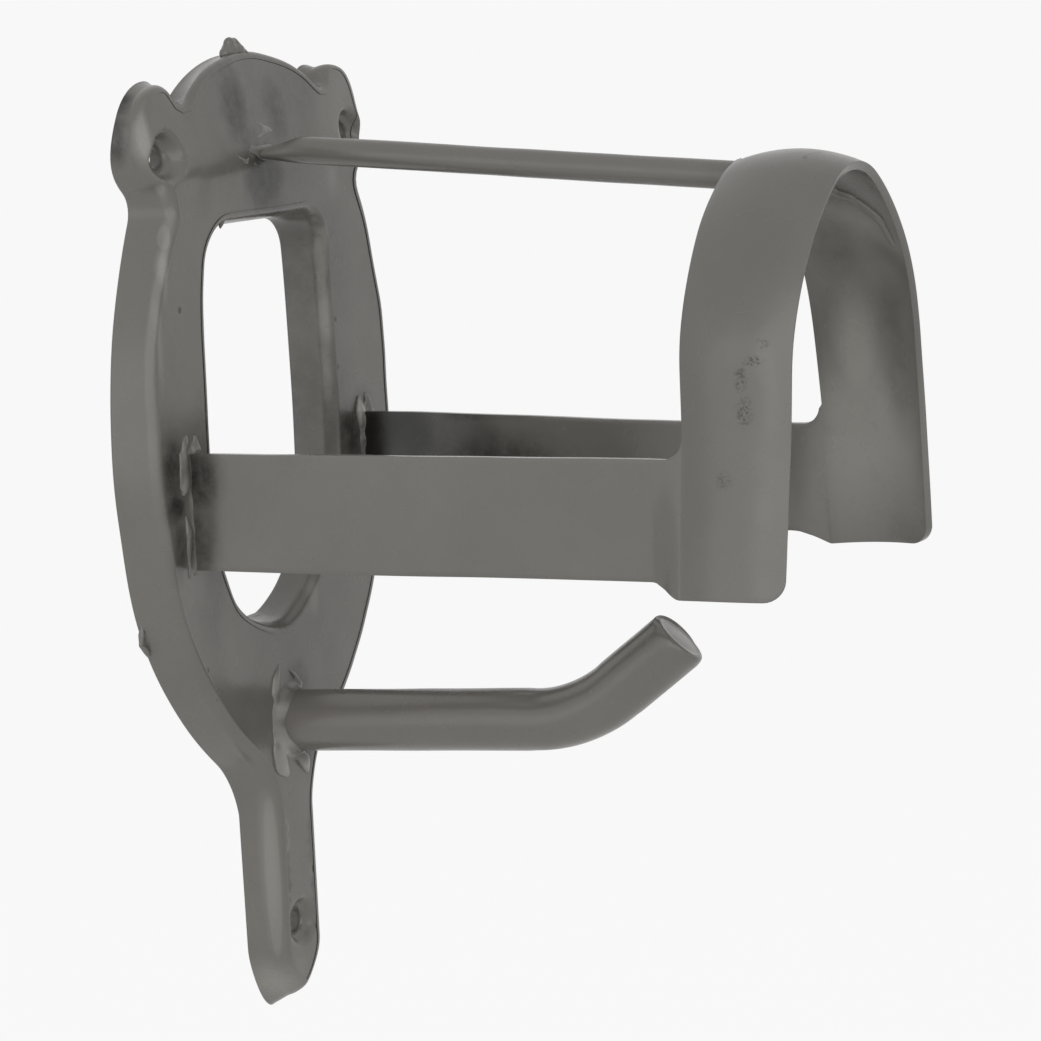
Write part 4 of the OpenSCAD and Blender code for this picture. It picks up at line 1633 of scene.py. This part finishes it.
# Three webs round the rod, three runs of coat at their left and the ridge under the rod
ROD_ROOT_RUNS = (
    ([(-2.8, 12.0, 225.4), (-1.0, 12.1, 222.8), (1.2, 12.1, 220.8)], [0.4, 0.8, 0.8], (1.0, 0.7, 1.0)),
    ([(-0.6, 12.0, 222.6), (2.6, 12.0, 221.0), (7.4, 11.9, 219.7)], [0.5, 1.1, 0.4], (1.3, 0.5, 1.1)),
    ([(1.3, 12.0, 220.5), (-2.6, 12.1, 219.6), (-7.2, 12.0, 218.2)], [0.7, 0.6, 0.35], (1.0, 0.8, 1.0)),
    ([(-12.7, 11.9, 221.6), (-13.2, 12.0, 219.2), (-13.6, 11.9, 216.8)], [0.4, 0.6, 0.4], (0.9, 0.6, 1.0)),
    ([(-13.8, 12.0, 215.4), (-10.6, 12.1, 213.8), (-9.2, 12.1, 215.0)], [0.6, 0.8, 0.5], (1.0, 0.7, 1.0)),
    ([(-7.4, 12.0, 213.4), (-5.2, 12.1, 212.6)], [0.5, 0.7], (1.0, 0.7, 1.0)),
    ([(-7.4, 11.9, 216.6), (-4.0, 12.3, 216.2), (0.0, 12.6, 216.2)], [0.9, 1.5, 1.6], (1.2, 0.6, 1.1)),
)
# The left side from its top to its foot, then the runs at the lower and upper right
HOOK_RUNS = (
    ([(-4.4, 12.0, 87.4), (-6.6, 12.0, 84.0), (-7.6, 12.1, 80.6), (-6.8, 12.2, 76.6)],
     [0.5, 1.5, 1.7, 0.6], (1.1, 0.55, 1.0)),
    ([(-6.8, 12.2, 76.6), (-7.4, 12.2, 69.6)], [0.7, 0.8], (1.0, 0.7, 1.0)),
    ([(-7.6, 12.0, 69.6), (-7.6, 12.0, 66.0), (-6.6, 12.0, 62.0), (-4.4, 11.9, 59.6)],
     [0.9, 2.4, 2.9, 1.6], (1.15, 0.42, 1.0)),
    ([(1.6, 12.2, 63.0), (3.8, 12.3, 61.4), (5.4, 12.0, 58.2)], [1.6, 2.1, 1.0], (1.0, 0.8, 1.0)),
    ([(-0.4, 12.0, 85.4), (2.2, 12.1, 83.6), (5.2, 12.4, 80.8)], [0.5, 0.9, 0.7], (1.1, 0.7, 1.0)),
)
# Painted highlights on the lumps of the beads, and painted shade in their pits, beside the arms,
# round the hook and under the rod
BEAD_MARKS = (
    *spots(Mark.PAINTED_HIGHLIGHT, ((-47, 13, 141), 6, 0.5, (0.4, 1, 1.4)), ((41, 13, 146.5), 5, 0.9),
           ((-7.6, 14, 77.2), 4, 0.5, (1, 1, 0.6)), ((-6.4, 12.5, 64), 9, 0.8, (0.7, 1, 1.2)),
           ((-8.4, 12.5, 83), 6, 0.6, (0.5, 1, 1.3)), ((4.4, 13, 60.6), 5, 1.0),
           ((0, 15.3, 221), 7, 0.5)),
    *spots(Mark.SOOT_AND_SHADE, ((-50.5, 12, 133.6), 4.5, 1.0), ((-45, 15, 142), 6, 0.6),
           ((-45, 15, 122), 6, 0.4), ((41, 14, 132), 14, 0.9), ((3, 12, 82), 5, 0.35),
           ((3.5, 14, 64.2), 5, 1.0), ((-7.8, 14, 73.2), 4, 0.6, (1, 1, 0.5)),
           ((-4, 14.6, 213), 5, 0.9)),
)


@dataclass
class CoatDrips:
    """Coat that has run and set: a nib, a spur, a drop and a ridge under the arch's crown."""

    voxel: float = 0.28
    smoothing: int = 4
    coat: DipCoat = field(default_factory=lambda: DipCoat("drip_coat"))

    def build(self) -> bpy.types.Object:
        """Builds and dresses the drips, which are one piece."""
        lumps = [Lump(at, size) for at, size in NIB_LUMPS] + flows(DRIP_RUNS)
        return dress(melt("coat_drips", lumps, self.voxel, self.smoothing), self.coat, "plate_coat")


# Middles and radii of the nib's lumps
NIB_LUMPS = (
    ((-4.6, 5.4, 240.4), (1.8, 1.6, 1.7)), ((-2.8, 5.6, 240.8), (2.8, 2.2, 2.6)),
    ((-2.8, 5.6, 242.7), (1.9, 1.5, 1.8)), ((-1.2, 5.8, 243.2), (1.3, 1.1, 1.1)),
    ((-0.6, 6.4, 241.0), (2.2, 2.0, 1.8)),
)
# The nib's run, two of the spur, the drop and the ridge under the crown of the arch
DRIP_RUNS = (
    ([(-0.9, 6.2, 243.0), (0.4, 7.0, 241.2), (1.4, 8.0, 239.8)], [0.9, 0.9, 0.8]),
    ([(-52.0, 1.2, 105.0), (-52.6, 1.2, 102.4), (-53.1, 1.1, 99.8)], [0.5, 0.9, 0.5]),
    ([(-53.0, 1.1, 100.0), (-51.2, 1.3, 98.4), (-50.2, 1.3, 97.0)], [0.6, 0.9, 0.6]),
    ([(-22.4, 12.4, 201.0), (-22.8, 12.3, 199.8), (-22.9, 12.1, 198.8)], [1.1, 0.8, 0.4]),
    ([(16.8, 154.0, 204.4), (19.8, 157.3, 202.2), (21.0, 160.5, 200.8), (23.4, 163.7, 197.7),
      (25.1, 166.3, 194.9), (29.3, 167.6, 188.6)], [1.2, 1.4, 1.45, 1.35, 1.2, 0.8],
     (1.0, 1.0, 1.0), 3.0, 0.15),
)


# Stage


@dataclass
class Viewpoint:
    """Camera at the photograph's place.

    Attributes:
        at: Place in metres.
        yaw: Turn about the upright, in degrees.
        pitch: Angle down, in degrees.
        roll: Roll, in degrees.
        lens: Focal length for a sensor 36 mm wide.
    """

    at: tuple[float, float, float] = (-0.95106, -0.56768, 0.05266)
    yaw: float = -62.392
    pitch: float = 7.731
    roll: float = -2.834
    lens: float = 153.42

    def build(self) -> bpy.types.Object:
        """Places the camera.

        Returns:
            The camera.
        """
        yaw, pitch, roll = (math.radians(a) for a in (self.yaw, self.pitch, self.roll))
        look = Vector((-math.sin(yaw) * math.cos(pitch), math.cos(yaw) * math.cos(pitch),
                       -math.sin(pitch)))
        right = Vector((math.cos(yaw), math.sin(yaw), 0.0))
        up = right.cross(look)
        across = right * math.cos(roll) + up * math.sin(roll)
        over = up * math.cos(roll) - right * math.sin(roll)
        data = bpy.data.cameras.new("camera")
        data.lens = self.lens
        data.sensor_width = 36.0
        data.clip_start = 0.01
        data.clip_end = 100.0
        camera = placed("camera", data)
        turn = Matrix((across, over, -look)).transposed().to_4x4()
        camera.matrix_world = Matrix.Translation(self.at) @ turn
        bpy.context.scene.camera = camera
        return camera


@dataclass
class Studio:
    """Plain floor, white surroundings and soft lamps."""

    floor_z: float = -0.46
    floor_r: float = 60.0
    world_level: float = 0.4
    floor_tone: Point = (0.82, 0.82, 0.81)
    glow_share: float = 0.9
    target: Point = (0, -0.06, -0.08)
    lamps: tuple[tuple[str, Point, float, float], ...] = (
        ("key_box", (-1.75, -1.1, 0.4), 2.6, 20.0),
        ("bend_box", (-0.75, -1.85, 0.3), 0.35, 1.3),
        ("side_box", (-2.0, 0.5, -0.1), 2.0, 6.0),
        ("top_box", (-0.6, -0.9, 2.0), 1.4, 1.2),
    )

    def build(self) -> None:
        """Builds the floor, the surroundings and the lamps."""
        self._world()
        self._floor()
        for name, at, size, power in self.lamps:
            data = bpy.data.lights.new(name, "AREA")
            data.shape = "DISK"
            data.size = size
            data.energy = power
            lamp = placed(name, data)
            lamp.location = at
            aim = Vector(self.target) - Vector(at)
            lamp.rotation_euler = aim.to_track_quat("-Z", "Y").to_euler()
        bpy.context.scene.view_settings.view_transform = "Standard"

    @staticmethod
    def _seen(tree: bpy.types.NodeTree) -> bpy.types.NodeSocket:
        """1 for rays from the camera, in a reflection or through glass, and 0 for light.

        Args:
            tree: Node tree that takes the nodes.

        Returns:
            The value.
        """
        path = tree.nodes.new("ShaderNodeLightPath")
        seen = path.outputs["Is Camera Ray"]
        for kind in ("Is Glossy Ray", "Is Transmission Ray"):
            either = tree.nodes.new("ShaderNodeMath")
            either.operation = "MAXIMUM"
            tree.links.new(seen, either.inputs[0])
            tree.links.new(path.outputs[kind], either.inputs[1])
            seen = either.outputs[0]
        return seen

    @staticmethod
    def _blend(tree: bpy.types.NodeTree, share: bpy.types.NodeSocket, plain: bpy.types.Node,
               white: str, end: str) -> None:
        """Mixes a shader with plain white light and sends both to the output.

        Args:
            tree: Node tree that takes the nodes.
            share: Share of the white light.
            plain: Node of the shader.
            white: Kind of the node that makes the light.
            end: Name of the output node.
        """
        light = tree.nodes.new("ShaderNode" + white)
        light.inputs["Color"].default_value = (1.0, 1.0, 1.0, 1.0)
        light.inputs["Strength"].default_value = 1.0
        mix = tree.nodes.new("ShaderNodeMixShader")
        for name, socket in (("Fac", share), (1, plain.outputs[0]), (2, light.outputs[0])):
            tree.links.new(socket, mix.inputs[name])
        tree.links.new(mix.outputs["Shader"], tree.nodes[end].inputs["Surface"])

    def _world(self) -> None:
        """Makes the surroundings white to the camera and soft grey to the object."""
        world = bpy.data.worlds.new("surroundings")
        bpy.context.scene.world = world
        world.use_nodes = True
        tree = world.node_tree
        plain = tree.nodes["Background"]
        plain.inputs["Color"].default_value = (1.0, 1.0, 1.0, 1.0)
        plain.inputs["Strength"].default_value = self.world_level
        self._blend(tree, self._seen(tree), plain, "Background", "World Output")

    def _floor(self) -> None:
        """Lays the pale floor, which stays white to the camera and keeps a faint shadow."""
        bm = bmesh.new()
        bmesh.ops.create_circle(bm, cap_ends=True, segments=96, radius=self.floor_r)
        mesh = bpy.data.meshes.new("floor")
        bm.to_mesh(mesh)
        bm.free()
        floor = placed("floor", mesh)
        floor.location = (0.0, 0.0, self.floor_z)
        mat = bpy.data.materials.new("floor_paint")
        mat.use_nodes = True
        tree = mat.node_tree
        paint = tree.nodes["Principled BSDF"]
        paint.inputs["Base Color"].default_value = (*self.floor_tone, 1.0)
        paint.inputs["Roughness"].default_value = 0.9
        share = tree.nodes.new("ShaderNodeMath")
        share.operation = "MULTIPLY"
        share.inputs[1].default_value = self.glow_share
        tree.links.new(self._seen(tree), share.inputs[0])
        self._blend(tree, share.outputs[0], paint, "Emission", "Material Output")
        floor.data.materials.append(mat)


def main() -> None:
    """Builds the rack, its stage and its camera, and reports each piece."""
    logging.basicConfig(level=logging.INFO, format="%(name)s: %(message)s")
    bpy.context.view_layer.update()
    for assembly in (WallPlate(), BridleArch(), TieRod(), ReinsHook(), WeldBeads(), CoatDrips()):
        assembly.build()
        log.info("built %s", type(assembly).__name__)
    Studio().build()
    Viewpoint().build()


if __name__ == "__main__":
    main()
